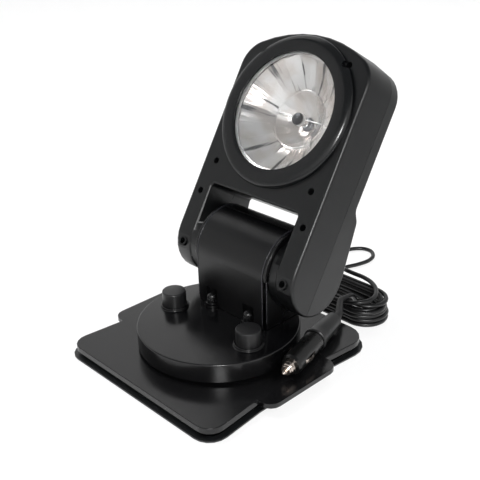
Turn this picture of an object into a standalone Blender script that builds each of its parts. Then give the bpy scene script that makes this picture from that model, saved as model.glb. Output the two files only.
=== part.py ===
"""Remote control searchlight on a magnetic base, with its power cord and lighter plug.

Metres, +Z up. The origin lies on the floor under the turntable's centre. At rest the lamp
faces -Y and leans back, and its tilt axle lies along X.
"""
import math

import bmesh
import bpy
from mathutils import Matrix, Vector

# Gap between pieces that touch
SEAT = 0.0003

# Base plate
PAD_THICKNESS = 0.0022
PAD_LIP = 0.0034
TRAY_THICKNESS = 0.0033
TRAY_INSET = 0.0030
COVER_EDGE = 0.0065
COVER_WALL = 0.0025
COVER_EDGE_ROUND = 0.0008
BASE_HALF_DEPTH = 0.1086
BASE_WAIST_HALF_WIDTH = 0.1000
BASE_END_FLARE = 0.0055
BASE_FRONT_CORNER_RADIUS = 0.0160
BASE_REAR_CORNER_RADIUS = 0.0220
NOTCH_RADIUS = 0.0020
TAB_REACH = 0.0168
TAB_HALF_LENGTH = 0.0465
TAB_CORNER_RADIUS = 0.0120
TAB_FLOOR_GAP = 0.0078
CABLE_HOLE_RADIUS = 0.0080
MAGNET_RADIUS = 0.0620
MAGNET_HOLE_RADIUS = 0.0260
MAGNET_THICKNESS = 0.0034
BASE_SCREW_SIDE_INSET = 0.0120
BASE_SCREW_END_INSET = 0.0170
SCREW_SHANK_RADIUS = 0.0014
SCREW_HEAD_RADIUS = 0.0030
SCREW_HEAD_HEIGHT = 0.0014
SCREW_BOSS_RADIUS = 0.0042

# Turntable
DRUM_RADIUS = 0.0812
DRUM_GAP = 0.0028
DRUM_HEIGHT = 0.0192
DRUM_WALL = 0.0025
DRUM_EDGE_ROUND = 0.0014
DRUM_FLOOR_THICKNESS = 0.0020
BEARING_RADIUS = 0.0680
BEARING_WIDTH = 0.0070
REST_X = 0.0540
REST_Y = -0.0116
REST_RADIUS = 0.0122
REST_HEIGHT = 0.0173
REST_EDGE_ROUND = 0.0014
REST_COLLAR_WIDTH = 0.0017
REST_COLLAR_HEIGHT = 0.0026

# Gears: tooth size, tooth counts and face widths
GEAR_MODULE = 0.0015
PAN_GEAR_TEETH = 48
PAN_PINION_TEETH = 10
TILT_GEAR_TEETH = 32
TILT_PINION_TEETH = 10
PAN_GEAR_HUB_RADIUS = 0.0336
PAN_GEAR_WIDTH = 0.0042
TILT_GEAR_WIDTH = 0.0060

# Motors and electronics
PAN_MOTOR_X = -0.0120
MOTOR_RADIUS = 0.0110
PAN_MOTOR_LENGTH = 0.0340
TILT_MOTOR_LENGTH = 0.0360
MOTOR_FLANGE_RADIUS = 0.0140
MOTOR_FLANGE_THICKNESS = 0.0020
MOTOR_SHAFT_RADIUS = 0.0015
MOTOR_SHAFT_DEPTH = 0.0050
TILT_PINION_Y = 0.0400
BOARD_SIZE = (0.0520, 0.0280, 0.0016)
BOARD_CENTRE = (0.0000, -0.0560)
BOARD_POST_HEIGHT = 0.0045
BOARD_POST_RADIUS = 0.0025
BOARD_POST_INSET = 0.0040
BOARD_PART_HEIGHTS = {"relay_a": 0.0060, "relay_b": 0.0060, "terminal": 0.0050}

# Neck
TILT_Y = 0.0560
TILT_HEIGHT = 0.0521
NECK_HALF_WIDTH = 0.0460
BARREL_RADIUS = 0.0405
NECK_WALL = 0.0025
NECK_BACK_Y = 0.0620
NECK_EDGE_ROUND = 0.0010
CHEEK_THICKNESS = 0.0035
CHEEK_SETBACK = 0.0030
AXLE_RADIUS = 0.0050
AXLE_HALF_LENGTH = 0.0740
BUSH_WALL = 0.0030
BUSH_FLANGE_WIDTH = 0.0035
BUSH_FLANGE_THICKNESS = 0.0008
NECK_SCREW_X = 0.0263
NECK_LUG_RADIUS = 0.0080
NECK_LUG_THICKNESS = 0.0025
NECK_ALCOVE_RADIUS = 0.0076
NECK_ALCOVE_HEIGHT = 0.0170
WASHER_RADIUS = 0.0066
WASHER_THICKNESS = 0.0012
CAP_HEX_RADIUS = 0.0058
CAP_HEX_HEIGHT = 0.0050
CAP_DOME_RADIUS = 0.0050
CAP_SHANK_RADIUS = 0.0022

# Lamp head, measured from its tilt axle: half widths across, heights up the face,
# depths forward to the face
LEAN_BACK = math.radians(31.8)
HEAD_HALF_WIDTH = 0.0820
HEAD_TOP = 0.2205
HEAD_TOP_ARC_RADIUS = 0.1450
HEAD_CORNER_RADIUS = 0.0300
HEAD_DRAFT = 0.0015
HEAD_WALL = 0.0025
HEAD_EDGE_ROUND = 0.0030
FACE_DEPTH = 0.0380
BACK_DEPTH = 0.0160
STEP_LOW = 0.0620
STEP_HIGH = 0.0760
STEP_DEPTH = 0.0260
FORK_HALF_WIDTH = 0.0592
FORK_TOP = 0.0513
FORK_CORNER_RADIUS = 0.0040
HUB_GAP = 0.0014
HUB_RADIUS = 0.0370
AXLE_BOSS_RADIUS = 0.0100
HEAD_SCREW_PLACES = {"top": (0.0530, 0.1962), "upper": (0.0644, 0.0743),
                     "lower": (0.0706, 0.0404), "bottom": (0.0704, -0.0150)}
RECESS_RADIUS = 0.0034
RECESS_FLOOR_DEPTH = 0.0120
HEAD_TUBE_RADIUS = 0.0052
HEAD_SCREW_REACH = 0.0070

# Lamp
LAMP_HEIGHT = 0.1401
BEZEL_RADIUS = 0.0774
BEZEL_HEIGHT = 0.0071
WINDOW_RADIUS = 0.0598
GLASS_RADIUS = 0.0626
GLASS_THICKNESS = 0.0030
GLASS_CROWN = 0.0012
GASKET_THICKNESS = 0.0026
LENS_COLLAR_WALL = 0.0025
REFLECTOR_RADIUS = 0.0593
REFLECTOR_VERTEX_DEPTH = -0.0040
REFLECTOR_WALL = 0.0015
BULB_HOLE_RADIUS = 0.0072
BULB_BASE_RADIUS = 0.0062
BULB_BASE_LENGTH = 0.0095
BULB_GLASS_RADIUS = 0.0046
BULB_GLASS_LENGTH = 0.0150
HOLDER_RADIUS = 0.0140
HOLDER_THICKNESS = 0.0025
SHIELD_RADIUS = 0.0062
SHIELD_LENGTH = 0.0060
SHIELD_WALL = 0.0007
WIRE_RADIUS = 0.0007
WIRE_SPAN = 0.0230

# Cord and plug
CORD_RADIUS = 0.0024
GLAND_X = -0.0450
GLAND_HEIGHT = 0.0078
GLAND_RADIUS = 0.0042
GLAND_FLANGE_RADIUS = 0.0048
GLAND_FLANGE_THICKNESS = 0.0020
GLAND_LENGTH = 0.0200
RELIEF_END_RADIUS = 0.0031
HANK_MIDDLE = (0.0320, 0.1520)
HANK_STRAIGHT = 0.0640
HANK_INNER_RADIUS = 0.0150
HANK_OUTER_RADIUS = 0.0252
HANK_HEIGHT = 0.0243
PLUG_TIP = (0.1000, -0.0134)
PLUG_HEADING = math.radians(14.7)
PLUG_SLOPE = math.radians(0.8)
PLUG_AXIS_HEIGHT = 0.0110
PIN_RADIUS = 0.0021
PIN_LENGTH = 0.0160
PIN_TRAVEL = 0.0030
NUT_START = 0.0055
NUT_LENGTH = 0.0090
NUT_RADIUS = 0.0060
NUT_SLEEVE_RADIUS = 0.0046
NUT_SLEEVE_LENGTH = 0.0060
BARREL_START = 0.0148
BARREL_END = 0.0640
PLUG_RADIUS = 0.0104
PLUG_BORE_RADIUS = 0.0074
CONTACT_START = 0.0270
CONTACT_LENGTH = 0.0180
CONTACT_WIDTH = 0.0040
CONTACT_THICKNESS = 0.0006
CONTACT_RISE = 0.0013
CONTACT_TRAVEL = 0.0015
GRIP_END = 0.1080
GRIP_RADIUS = 0.0118
GRIP_END_RADIUS = 0.0080
FUSE_RADIUS = 0.0031
FUSE_LENGTH = 0.0300
TAIL_RELIEF_RADIUS = 0.0042

# Surface finishes: colour, roughness and metallic value
BLACK_ABS = ((0.018, 0.018, 0.020, 1.0), 0.38, 0.0)
BLACK_RUBBER = ((0.015, 0.015, 0.015, 1.0), 0.70, 0.0)
GREY_ZINC = ((0.42, 0.43, 0.45, 1.0), 0.40, 1.0)
BRIGHT_NICKEL = ((0.72, 0.68, 0.64, 1.0), 0.22, 1.0)
MAGNET_BLACK = ((0.05, 0.05, 0.055, 1.0), 0.45, 0.6)
CLEAR_GLASS = ((0.92, 0.95, 0.95, 1.0), 0.03, 0.0)
MIRROR_SILVER = ((0.86, 0.86, 0.87, 1.0), 0.10, 1.0)
WHITE_NYLON = ((0.80, 0.79, 0.74, 1.0), 0.45, 0.0)
BOARD_GREEN = ((0.03, 0.16, 0.06, 1.0), 0.45, 0.0)
BRONZE = ((0.50, 0.33, 0.16, 1.0), 0.35, 1.0)

# Heights and places worked out from the sizes above
TRAY_BOTTOM = PAD_THICKNESS + SEAT
COVER_BOTTOM = TRAY_BOTTOM + TRAY_THICKNESS + SEAT
BASE_TOP = COVER_BOTTOM + COVER_EDGE
DRUM_BOTTOM = BASE_TOP + DRUM_GAP
DRUM_TOP = DRUM_BOTTOM + DRUM_HEIGHT
DRUM_FLOOR_TOP = DRUM_BOTTOM + DRUM_FLOOR_THICKNESS
NECK_FOOT = DRUM_TOP + SEAT
TILT_Z = DRUM_TOP + TILT_HEIGHT
NECK_FRONT_Y = TILT_Y - BARREL_RADIUS
CHEEK_OUTSIDE = NECK_HALF_WIDTH + SEAT + CHEEK_THICKNESS
HUB_INSIDE = CHEEK_OUTSIDE + HUB_GAP
PAN_GEAR_BOTTOM = DRUM_FLOOR_TOP + SEAT
BASE_END_HALF_WIDTH = BASE_WAIST_HALF_WIDTH + BASE_END_FLARE
TAB_HALF_WIDTH = BASE_WAIST_HALF_WIDTH + TAB_REACH
BASE_SCREW_X = BASE_WAIST_HALF_WIDTH - BASE_SCREW_SIDE_INSET
BASE_SCREW_Y = BASE_HALF_DEPTH - BASE_SCREW_END_INSET
BASE_SCREW_PLACES = [(x, y) for x in (-BASE_SCREW_X, BASE_SCREW_X)
                     for y in (-BASE_SCREW_Y, BASE_SCREW_Y)]
NECK_SCREW_PLACES = [(x, y) for x in (-NECK_SCREW_X, NECK_SCREW_X)
                     for y in (NECK_FRONT_Y, NECK_BACK_Y)]
CORNER_NAMES = ["front_left", "rear_left", "front_right", "rear_right"]


def start_scene():
    """Empties the scene and makes a collection for the parts and one for the cutters."""
    for old in list(bpy.data.objects):
        bpy.data.objects.remove(old)
    parts = bpy.data.collections.new("remote_control_searchlight")
    cutters = bpy.data.collections.new("cutters")
    for group in (parts, cutters):
        bpy.context.scene.collection.children.link(group)
    return parts, cutters


PARTS, CUTTERS = start_scene()


def arc(centre, radius, start, end, steps):
    """Points along an arc, with its angles in degrees."""
    points = []
    for step in range(steps + 1):
        angle = math.radians(start + (end - start) * step / steps)
        points.append((centre[0] + radius * math.cos(angle), centre[1] + radius * math.sin(angle)))
    return points


def circle(radius, steps=32, centre=(0.0, 0.0)):
    """A closed circle without its repeated last point, turned by half a step."""
    half = 180.0 / steps
    return arc(centre, radius, half, half + 360.0, steps)[:-1]


def box_outline(left, right, low, high):
    """A rectangle, counter-clockwise."""
    return [(left, low), (right, low), (right, high), (left, high)]


def offset(corners, distance):
    """Moves the sides of a counter-clockwise polygon outward."""
    moved = []
    count = len(corners)
    for index in range(count):
        before, here, after = (Vector(corners[(index + shift) % count]) for shift in (-1, 0, 1))
        first = (here - before).normalized()
        second = (after - here).normalized()
        normal_a = Vector((first.y, -first.x))
        normal_b = Vector((second.y, -second.x))
        reach = (normal_a + normal_b) / (1.0 + normal_a.dot(normal_b))
        moved.append(tuple(here + reach * distance))
    return moved


def rounded(corners, radii, steps=5):
    """Rounds each corner of a polygon to its own radius, with steps for a quarter turn."""
    outline = []
    count = len(corners)
    for index in range(count):
        before, here, after = (Vector(corners[(index + shift) % count]) for shift in (-1, 0, 1))
        to_before = (before - here).normalized()
        to_after = (after - here).normalized()
        half = to_before.angle(to_after) / 2
        radius = radii[index]
        centre = here + (to_before + to_after).normalized() * (radius / math.sin(half))
        start = here + to_before * (radius / math.tan(half))
        end = here + to_after * (radius / math.tan(half))
        angle_a = math.atan2(start.y - centre.y, start.x - centre.x)
        angle_b = math.atan2(end.y - centre.y, end.x - centre.x)
        turn = (angle_b - angle_a + math.pi) % (2 * math.pi) - math.pi
        parts = max(1, round(steps * abs(turn) * 2 / math.pi))
        outline += arc(centre, radius, math.degrees(angle_a), math.degrees(angle_a + turn), parts)
    return outline


def link(shape, is_cutter=False):
    """Puts an object in its collection, and shows a cutter as wires."""
    (CUTTERS if is_cutter else PARTS).objects.link(shape)
    if is_cutter:
        shape.hide_render = True
        shape.display_type = "WIRE"
    return shape


def evaluated(shape):
    """Returns a closed mesh object with the shape's modifiers applied."""
    bpy.context.view_layer.update()
    graph = bpy.context.evaluated_depsgraph_get()
    mesh = bpy.data.meshes.new_from_object(shape.evaluated_get(graph))
    mesh.transform(shape.matrix_world)
    name = shape.name
    is_cut = any(change.type == "BOOLEAN" for change in shape.modifiers)
    bpy.data.objects.remove(shape)
    shell = bmesh.new()
    shell.from_mesh(mesh)
    bmesh.ops.remove_doubles(shell, verts=shell.verts, dist=1e-6)
    if is_cut:
        bmesh.ops.dissolve_limit(shell, angle_limit=math.radians(0.1), verts=shell.verts,
                                 edges=shell.edges)
    else:
        bmesh.ops.recalc_face_normals(shell, faces=shell.faces)
    shell.to_mesh(mesh)
    shell.free()
    solid = bpy.data.objects.new(name, mesh)
    return solid


def axis_frame(axis, centre):
    """Turns a shape made along Z so that it lies along X, Y or Z, about a centre."""
    columns = {
        "X": ((0, 1, 0), (0, 0, 1), (1, 0, 0)),
        "Y": ((0, 0, 1), (1, 0, 0), (0, 1, 0)),
        "Z": ((1, 0, 0), (0, 1, 0), (0, 0, 1)),
    }[axis]
    return Matrix.Translation(centre) @ Matrix(columns).transposed().to_4x4()


def prism(name, outlines, low, high, axis="Z"):
    """Extrudes a flat outline, with inner outlines as holes, from low to high on an axis.

    The outline lies in XY for Z, in YZ for X and in ZX for Y.
    """
    curve = bpy.data.curves.new(name, "CURVE")
    curve.dimensions = "2D"
    curve.fill_mode = "BOTH"
    curve.extrude = (high - low) / 2
    for outline in outlines:
        spline = curve.splines.new("POLY")
        spline.points.add(len(outline) - 1)
        spline.use_cyclic_u = True
        for point, (across, up) in zip(spline.points, outline):
            point.co = (across, up, 0.0, 1.0)
    shape = link(bpy.data.objects.new(name, curve), True)
    solid = evaluated(shape)
    middle = Matrix.Translation((0, 0, (low + high) / 2))
    solid.data.transform(axis_frame(axis, (0, 0, 0)) @ middle)
    return solid


def turned(name, profile, axis="Z", centre=(0, 0, 0), steps=40):
    """Turns a profile of (radius, height) points round an axis.

    A profile that starts and ends on the axis makes a full solid, any other a ring.
    """
    mesh = bpy.data.meshes.new(name)
    edges = [(index, index + 1) for index in range(len(profile) - 1)]
    if profile[0][0] > 0.0 or profile[-1][0] > 0.0:
        edges.append((len(profile) - 1, 0))
    mesh.from_pydata([(radius, 0.0, height) for radius, height in profile], edges, [])
    shape = link(bpy.data.objects.new(name, mesh), True)
    screw = shape.modifiers.new("turn", "SCREW")
    screw.steps = steps
    screw.render_steps = steps
    screw.use_merge_vertices = True
    screw.merge_threshold = 0.00001
    solid = evaluated(shape)
    solid.data.transform(axis_frame(axis, centre))
    return solid


def rod(name, radius, low, high, axis="Z", centre=(0, 0, 0), steps=24):
    """A plain cylinder between two heights on an axis."""
    profile = [(0.0, high), (radius, high), (radius, low), (0.0, low)]
    return turned(name, profile, axis, centre, steps)


def rods(name, places, radius, low, high, axis="Z", steps=12):
    """Several plain cylinders side by side: places are (x, y) for Z and (x, z) for Y."""
    spots = [(a, b, 0.0) if axis == "Z" else (a, 0.0, b) for a, b in places]
    return merged(name, [rod(name, radius, low, high, axis, spot, steps) for spot in spots])


def tube(name, outer, inner, low, high, axis="Z", centre=(0, 0, 0), steps=32):
    """A plain ring between two heights on an axis."""
    profile = [(outer, high), (outer, low), (inner, low), (inner, high)]
    return turned(name, profile, axis, centre, steps)


def combine(shape, other, operation):
    """Cuts, joins or intersects a shape with another by a Boolean modifier."""
    if other.name not in CUTTERS.objects:
        link(other, True)
    change = shape.modifiers.new(operation.lower(), "BOOLEAN")
    change.object = other
    change.operation = operation
    change.solver = "EXACT"
    return shape


def cut(shape, *others):
    """Takes other shapes away."""
    for other in others:
        combine(shape, other, "DIFFERENCE")
    return shape


def join(shape, *others):
    """Adds other shapes."""
    for other in others:
        combine(shape, other, "UNION")
    return shape


def keep_inside(shape, other):
    """Keeps what lies inside another shape."""
    return combine(shape, other, "INTERSECT")


def bevel(shape, width, segments=2, angle=40.0):
    """Rounds the edges that are sharper than an angle."""
    edge = shape.modifiers.new("edges", "BEVEL")
    edge.width = width
    edge.segments = segments
    edge.limit_method = "ANGLE"
    edge.angle_limit = math.radians(angle)
    return shape


def settled(shape):
    """Applies a shape's modifiers and removes the cutters that it used."""
    used = [change.object for change in shape.modifiers if change.type == "BOOLEAN"]
    if shape.name not in CUTTERS.objects:
        link(shape, True)
    solid = evaluated(shape)
    for cutter in used:
        bpy.data.objects.remove(cutter)
    return solid


def merged(name, solids):
    """Puts several separate solids into one object."""
    mesh = bpy.data.meshes.new(name)
    group = bmesh.new()
    for solid in solids:
        group.from_mesh(solid.data)
        bpy.data.objects.remove(solid)
    group.to_mesh(mesh)
    group.free()
    return bpy.data.objects.new(name, mesh)


def finished(name, shape, finish, parent=None):
    """Names a solid, gives it its material and smooth shading, and hangs it on its parent."""
    solid = settled(shape)
    solid.name = name
    colour, roughness, metallic = finish
    material = bpy.data.materials.new(name)
    material.use_nodes = True
    surface = material.node_tree.nodes["Principled BSDF"]
    surface.inputs["Base Color"].default_value = colour
    surface.inputs["Roughness"].default_value = roughness
    surface.inputs["Metallic"].default_value = metallic
    solid.data.materials.clear()
    solid.data.materials.append(material)
    solid.data.shade_smooth()
    solid.data.set_sharp_from_angle(angle=math.radians(30))
    link(solid)
    solid.parent = parent
    return solid


def pivot(name, place, turn=(0.0, 0.0, 0.0), parent=None):
    """An empty on a joint's axis that carries the pieces that move with it."""
    empty = bpy.data.objects.new(name, None)
    empty.empty_display_size = 0.02
    PARTS.objects.link(empty)
    empty.location = place
    empty.rotation_euler = turn
    empty.parent = parent
    return empty


def base_corners():
    """The base plate's plan, wider at its front and rear ends than at its waist."""
    right = [(BASE_END_HALF_WIDTH, -BASE_HALF_DEPTH), (BASE_WAIST_HALF_WIDTH, -TAB_HALF_LENGTH),
             (BASE_WAIST_HALF_WIDTH, TAB_HALF_LENGTH), (BASE_END_HALF_WIDTH, BASE_HALF_DEPTH)]
    left = [(-x, y) for x, y in reversed(right)]
    return right + left


def base_outline(grow=0.0):
    """The plan grown by a distance, with round corners and soft bends at the waist."""
    front = BASE_FRONT_CORNER_RADIUS + grow
    rear = BASE_REAR_CORNER_RADIUS + grow
    radii = [front, front, rear, rear, rear, rear, front, front]
    return rounded(offset(base_corners(), grow), radii, 5)


def screw_with_head(name, place, seat, reach, up=1.0):
    """A pan-head screw whose head sits at a height and whose shank reaches away from it."""
    head = seat + up * SCREW_HEAD_HEIGHT
    profile = [(0.0, head), (SCREW_HEAD_RADIUS, head), (SCREW_HEAD_RADIUS, seat),
               (SCREW_SHANK_RADIUS, seat), (SCREW_SHANK_RADIUS, seat - up * reach),
               (0.0, seat - up * reach)]
    return turned(name, profile, "Z", (place[0], place[1], 0.0), 10)


def base_pad():
    """Rubber pad under the magnets, which shows as a thin lower rim."""
    pad = prism("pad", [base_outline(PAD_LIP)], 0.0, PAD_THICKNESS)
    return finished("base_pad", bevel(pad, COVER_EDGE_ROUND / 2, 1, 60), BLACK_RUBBER)


def base_tray():
    """Steel tray that closes the cover from below, with a hole for each screw."""
    holes = [circle(SCREW_SHANK_RADIUS + SEAT, 10, place) for place in BASE_SCREW_PLACES]
    top = TRAY_BOTTOM + TRAY_THICKNESS
    tray = prism("tray", [base_outline(-TRAY_INSET)] + holes, TRAY_BOTTOM, top)
    sinks = rods("sinks", BASE_SCREW_PLACES, SCREW_HEAD_RADIUS + SEAT, 0.0,
                 TRAY_BOTTOM + SCREW_HEAD_HEIGHT + SEAT)
    return finished("base_tray", cut(tray, sinks), GREY_ZINC)


def base_cover():
    """Moulded top of the base: a shallow open shell with a finger tab on each side."""
    cover = bevel(prism("cover", [base_outline()], COVER_BOTTOM, BASE_TOP), COVER_EDGE_ROUND)
    for side in (-1, 1):
        inner = BASE_WAIST_HALF_WIDTH - COVER_WALL
        corners = box_outline(inner, TAB_HALF_WIDTH, -TAB_HALF_LENGTH, TAB_HALF_LENGTH)
        radii = [NOTCH_RADIUS, TAB_CORNER_RADIUS, TAB_CORNER_RADIUS, NOTCH_RADIUS]
        outline = [(side * x, y) for x, y in rounded(corners, radii, 4)]
        tab = prism(f"tab_{side}", [outline], TAB_FLOOR_GAP, BASE_TOP)
        join(cover, settled(bevel(tab, COVER_EDGE_ROUND, 1)))
    roof = BASE_TOP - COVER_WALL
    cut(cover, prism("hollow", [base_outline(-COVER_WALL)], 0.0, roof))
    for side in (-1, 1):
        corners = box_outline(BASE_WAIST_HALF_WIDTH + COVER_WALL, TAB_HALF_WIDTH - COVER_WALL,
                              COVER_WALL - TAB_HALF_LENGTH, TAB_HALF_LENGTH - COVER_WALL)
        inner_corner = TAB_CORNER_RADIUS - COVER_WALL
        radii = [NOTCH_RADIUS, inner_corner, inner_corner, NOTCH_RADIUS]
        outline = [(side * x, y) for x, y in rounded(corners, radii, 4)]
        cut(cover, prism(f"finger_{side}", [outline], 0.0, roof))
    join(cover, rods("bosses", BASE_SCREW_PLACES, SCREW_BOSS_RADIUS, COVER_BOTTOM,
                     roof + COVER_WALL / 2))
    cut(cover, rods("pilots", BASE_SCREW_PLACES, SCREW_SHANK_RADIUS + SEAT, 0.0, roof, steps=10))
    cut(cover, rod("cable_hole", CABLE_HOLE_RADIUS, 0.0, BASE_TOP + COVER_WALL))
    return finished("base_cover", cover, BLACK_ABS)


def base_magnet():
    """Flat ring magnet on the tray, round the cable's path."""
    ring = tube("ring", MAGNET_RADIUS, MAGNET_HOLE_RADIUS, COVER_BOTTOM,
                COVER_BOTTOM + MAGNET_THICKNESS, steps=28)
    return finished("base_magnet", ring, MAGNET_BLACK)


def base_screws():
    """Screws that hold the tray to the cover, driven from below."""
    seat = TRAY_BOTTOM + SCREW_HEAD_HEIGHT
    reach = BASE_TOP - COVER_WALL - SEAT - seat
    for corner, place in zip(CORNER_NAMES, BASE_SCREW_PLACES):
        screw = screw_with_head("screw", place, seat, reach, -1.0)
        finished(f"base_screw_{corner}", screw, GREY_ZINC)


def gear_outline(teeth, centre=(0.0, 0.0), phase=0.0):
    """A spur gear's outline with straight-flanked teeth and some backlash."""
    pitch_radius = GEAR_MODULE * teeth / 2
    tip = pitch_radius + 0.85 * GEAR_MODULE
    root = pitch_radius - 1.15 * GEAR_MODULE
    step = 360.0 / teeth
    outline = []
    for tooth in range(teeth):
        middle = phase + tooth * step
        for radius, share in ((root, -0.27), (tip, -0.12), (tip, 0.12), (root, 0.27)):
            angle = math.radians(middle + share * step)
            outline.append((centre[0] + radius * math.cos(angle),
                            centre[1] + radius * math.sin(angle)))
    return outline


def pan_gear():
    """Fixed gear on the base that the pan pinion runs round. It also keeps the drum down."""
    low = BASE_TOP + SEAT
    top = PAN_GEAR_BOTTOM + PAN_GEAR_WIDTH
    hub = tube("hub", PAN_GEAR_HUB_RADIUS, CABLE_HOLE_RADIUS, low, (PAN_GEAR_BOTTOM + top) / 2,
               steps=32)
    teeth = prism("teeth", [gear_outline(PAN_GEAR_TEETH), circle(PAN_GEAR_HUB_RADIUS * 0.8, 20)],
                  PAN_GEAR_BOTTOM, top)
    return finished("pan_gear", join(teeth, hub), WHITE_NYLON)


def pan_bearing():
    """Low-friction ring that the turntable slides on."""
    ring = tube("ring", BEARING_RADIUS, BEARING_RADIUS - BEARING_WIDTH, BASE_TOP + SEAT,
                DRUM_BOTTOM - SEAT, steps=32)
    return finished("pan_bearing", ring, WHITE_NYLON)


def pan_motor_place():
    """The pan motor's centre, at the gears' centre distance from the pan axis."""
    distance = GEAR_MODULE * (PAN_GEAR_TEETH + PAN_PINION_TEETH) / 2
    return PAN_MOTOR_X, math.sqrt(distance ** 2 - PAN_MOTOR_X ** 2)


def drum_cover(carrier):
    """The turntable's moulded cap, open below, with a raised collar round each rest."""
    profile = [(0.0, DRUM_TOP), (DRUM_RADIUS - DRUM_EDGE_ROUND, DRUM_TOP)]
    profile += [(x, z) for x, z in arc((DRUM_RADIUS - DRUM_EDGE_ROUND, DRUM_TOP - DRUM_EDGE_ROUND),
                                       DRUM_EDGE_ROUND, 90.0, 0.0, 3)[1:]]
    roof = DRUM_TOP - DRUM_WALL
    profile += [(DRUM_RADIUS, DRUM_BOTTOM), (DRUM_RADIUS - DRUM_WALL, DRUM_BOTTOM),
                (DRUM_RADIUS - DRUM_WALL, roof), (0.0, roof)]
    drum = turned("drum", profile, steps=40)
    outer = REST_RADIUS + SEAT + REST_COLLAR_WIDTH
    collars = [tube("collar", outer, REST_RADIUS + SEAT, DRUM_TOP - DRUM_WALL / 2,
                    DRUM_TOP + REST_COLLAR_HEIGHT, "Z", (side * REST_X, REST_Y, 0.0), 20)
               for side in (-1, 1)]
    join(drum, merged("collars", collars))
    cut(drum, rods("neck_holes", NECK_SCREW_PLACES, CAP_SHANK_RADIUS + SEAT, DRUM_BOTTOM,
                   DRUM_TOP + DRUM_WALL, steps=10))
    x, y = pan_motor_place()
    cut(drum, rod("motor_hole", MOTOR_RADIUS + SEAT, DRUM_BOTTOM, DRUM_TOP + DRUM_WALL, "Z",
                  (x, y, 0.0), 20))
    return finished("drum_cover", drum, BLACK_ABS, carrier)


def board_post_places():
    """Corners of the receiver board where its posts stand."""
    places = []
    for side_x in (-1, 1):
        for side_y in (-1, 1):
            places.append((BOARD_CENTRE[0] + side_x * (BOARD_SIZE[0] / 2 - BOARD_POST_INSET),
                           BOARD_CENTRE[1] + side_y * (BOARD_SIZE[1] / 2 - BOARD_POST_INSET)))
    return places


def drum_floor(carrier):
    """Plate that snaps into the drum from below and runs under the fixed gear's rim."""
    radius = DRUM_RADIUS - DRUM_WALL - SEAT
    floor = prism("floor", [circle(radius, 48), circle(PAN_GEAR_HUB_RADIUS + 2 * SEAT, 32)],
                  DRUM_BOTTOM, DRUM_FLOOR_TOP)
    join(floor, rods("posts", board_post_places(), BOARD_POST_RADIUS,
                     DRUM_BOTTOM + DRUM_FLOOR_THICKNESS / 2, DRUM_FLOOR_TOP + BOARD_POST_HEIGHT))
    return finished("drum_floor", floor, BLACK_ABS, carrier)


def head_rest(side, name, carrier):
    """Rubber rest that one side of the folded lamp head lies on."""
    top = DRUM_TOP + SEAT + REST_HEIGHT
    profile = [(0.0, top), (REST_RADIUS - 2 * REST_EDGE_ROUND, top)]
    profile += arc((REST_RADIUS - 1.4 * REST_EDGE_ROUND, top - REST_EDGE_ROUND),
                   REST_EDGE_ROUND, 80.0, 10.0, 3)
    profile += [(REST_RADIUS, DRUM_TOP + SEAT), (0.0, DRUM_TOP + SEAT)]
    rest = turned("rest", profile, "Z", (side * REST_X, REST_Y, 0.0), 20)
    return finished(name, rest, BLACK_RUBBER, carrier)


def pan_motor(carrier):
    """Pan gear motor, hung by its flange through the drum's roof into the neck."""
    x, y = pan_motor_place()
    nose = PAN_GEAR_BOTTOM + PAN_GEAR_WIDTH + SEAT
    flange = DRUM_TOP + SEAT
    top = nose + PAN_MOTOR_LENGTH
    bore = MOTOR_SHAFT_RADIUS + SEAT
    profile = [(0.0, top), (MOTOR_RADIUS, top), (MOTOR_RADIUS, flange + MOTOR_FLANGE_THICKNESS),
               (MOTOR_FLANGE_RADIUS, flange + MOTOR_FLANGE_THICKNESS),
               (MOTOR_FLANGE_RADIUS, flange), (MOTOR_RADIUS, flange), (MOTOR_RADIUS, nose),
               (bore, nose), (bore, nose + MOTOR_SHAFT_DEPTH + SEAT),
               (0.0, nose + MOTOR_SHAFT_DEPTH + SEAT)]
    return finished("pan_motor", turned("motor", profile, "Z", (x, y, 0.0), 20), GREY_ZINC, carrier)


def pan_pinion(carrier):
    """Pinion on the pan motor's shaft, in mesh with the fixed gear."""
    x, y = pan_motor_place()
    spin = pivot("pan_pinion_axis", (x, y, 0.0), parent=carrier)
    toward_gear = math.degrees(math.atan2(-y, -x))
    half_tooth = 180.0 / PAN_PINION_TEETH
    phase = toward_gear + half_tooth + pan_mesh_turn()
    low = PAN_GEAR_BOTTOM
    pinion = prism("pinion", [gear_outline(PAN_PINION_TEETH, (0.0, 0.0), phase)], low,
                   low + PAN_GEAR_WIDTH)
    shaft_end = low + PAN_GEAR_WIDTH + SEAT + MOTOR_SHAFT_DEPTH
    join(pinion, rod("shaft", MOTOR_SHAFT_RADIUS, low + PAN_GEAR_WIDTH / 2, shaft_end, steps=10))
    return finished("pan_pinion", pinion, WHITE_NYLON, spin)


def pan_mesh_turn():
    """How far the pinion is turned so that its gap meets the fixed gear's nearest tooth."""
    x, y = pan_motor_place()
    step = 360.0 / PAN_GEAR_TEETH
    toward_pinion = math.degrees(math.atan2(y, x))
    tooth_lead = toward_pinion - round(toward_pinion / step) * step
    return tooth_lead * PAN_GEAR_TEETH / PAN_PINION_TEETH


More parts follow.
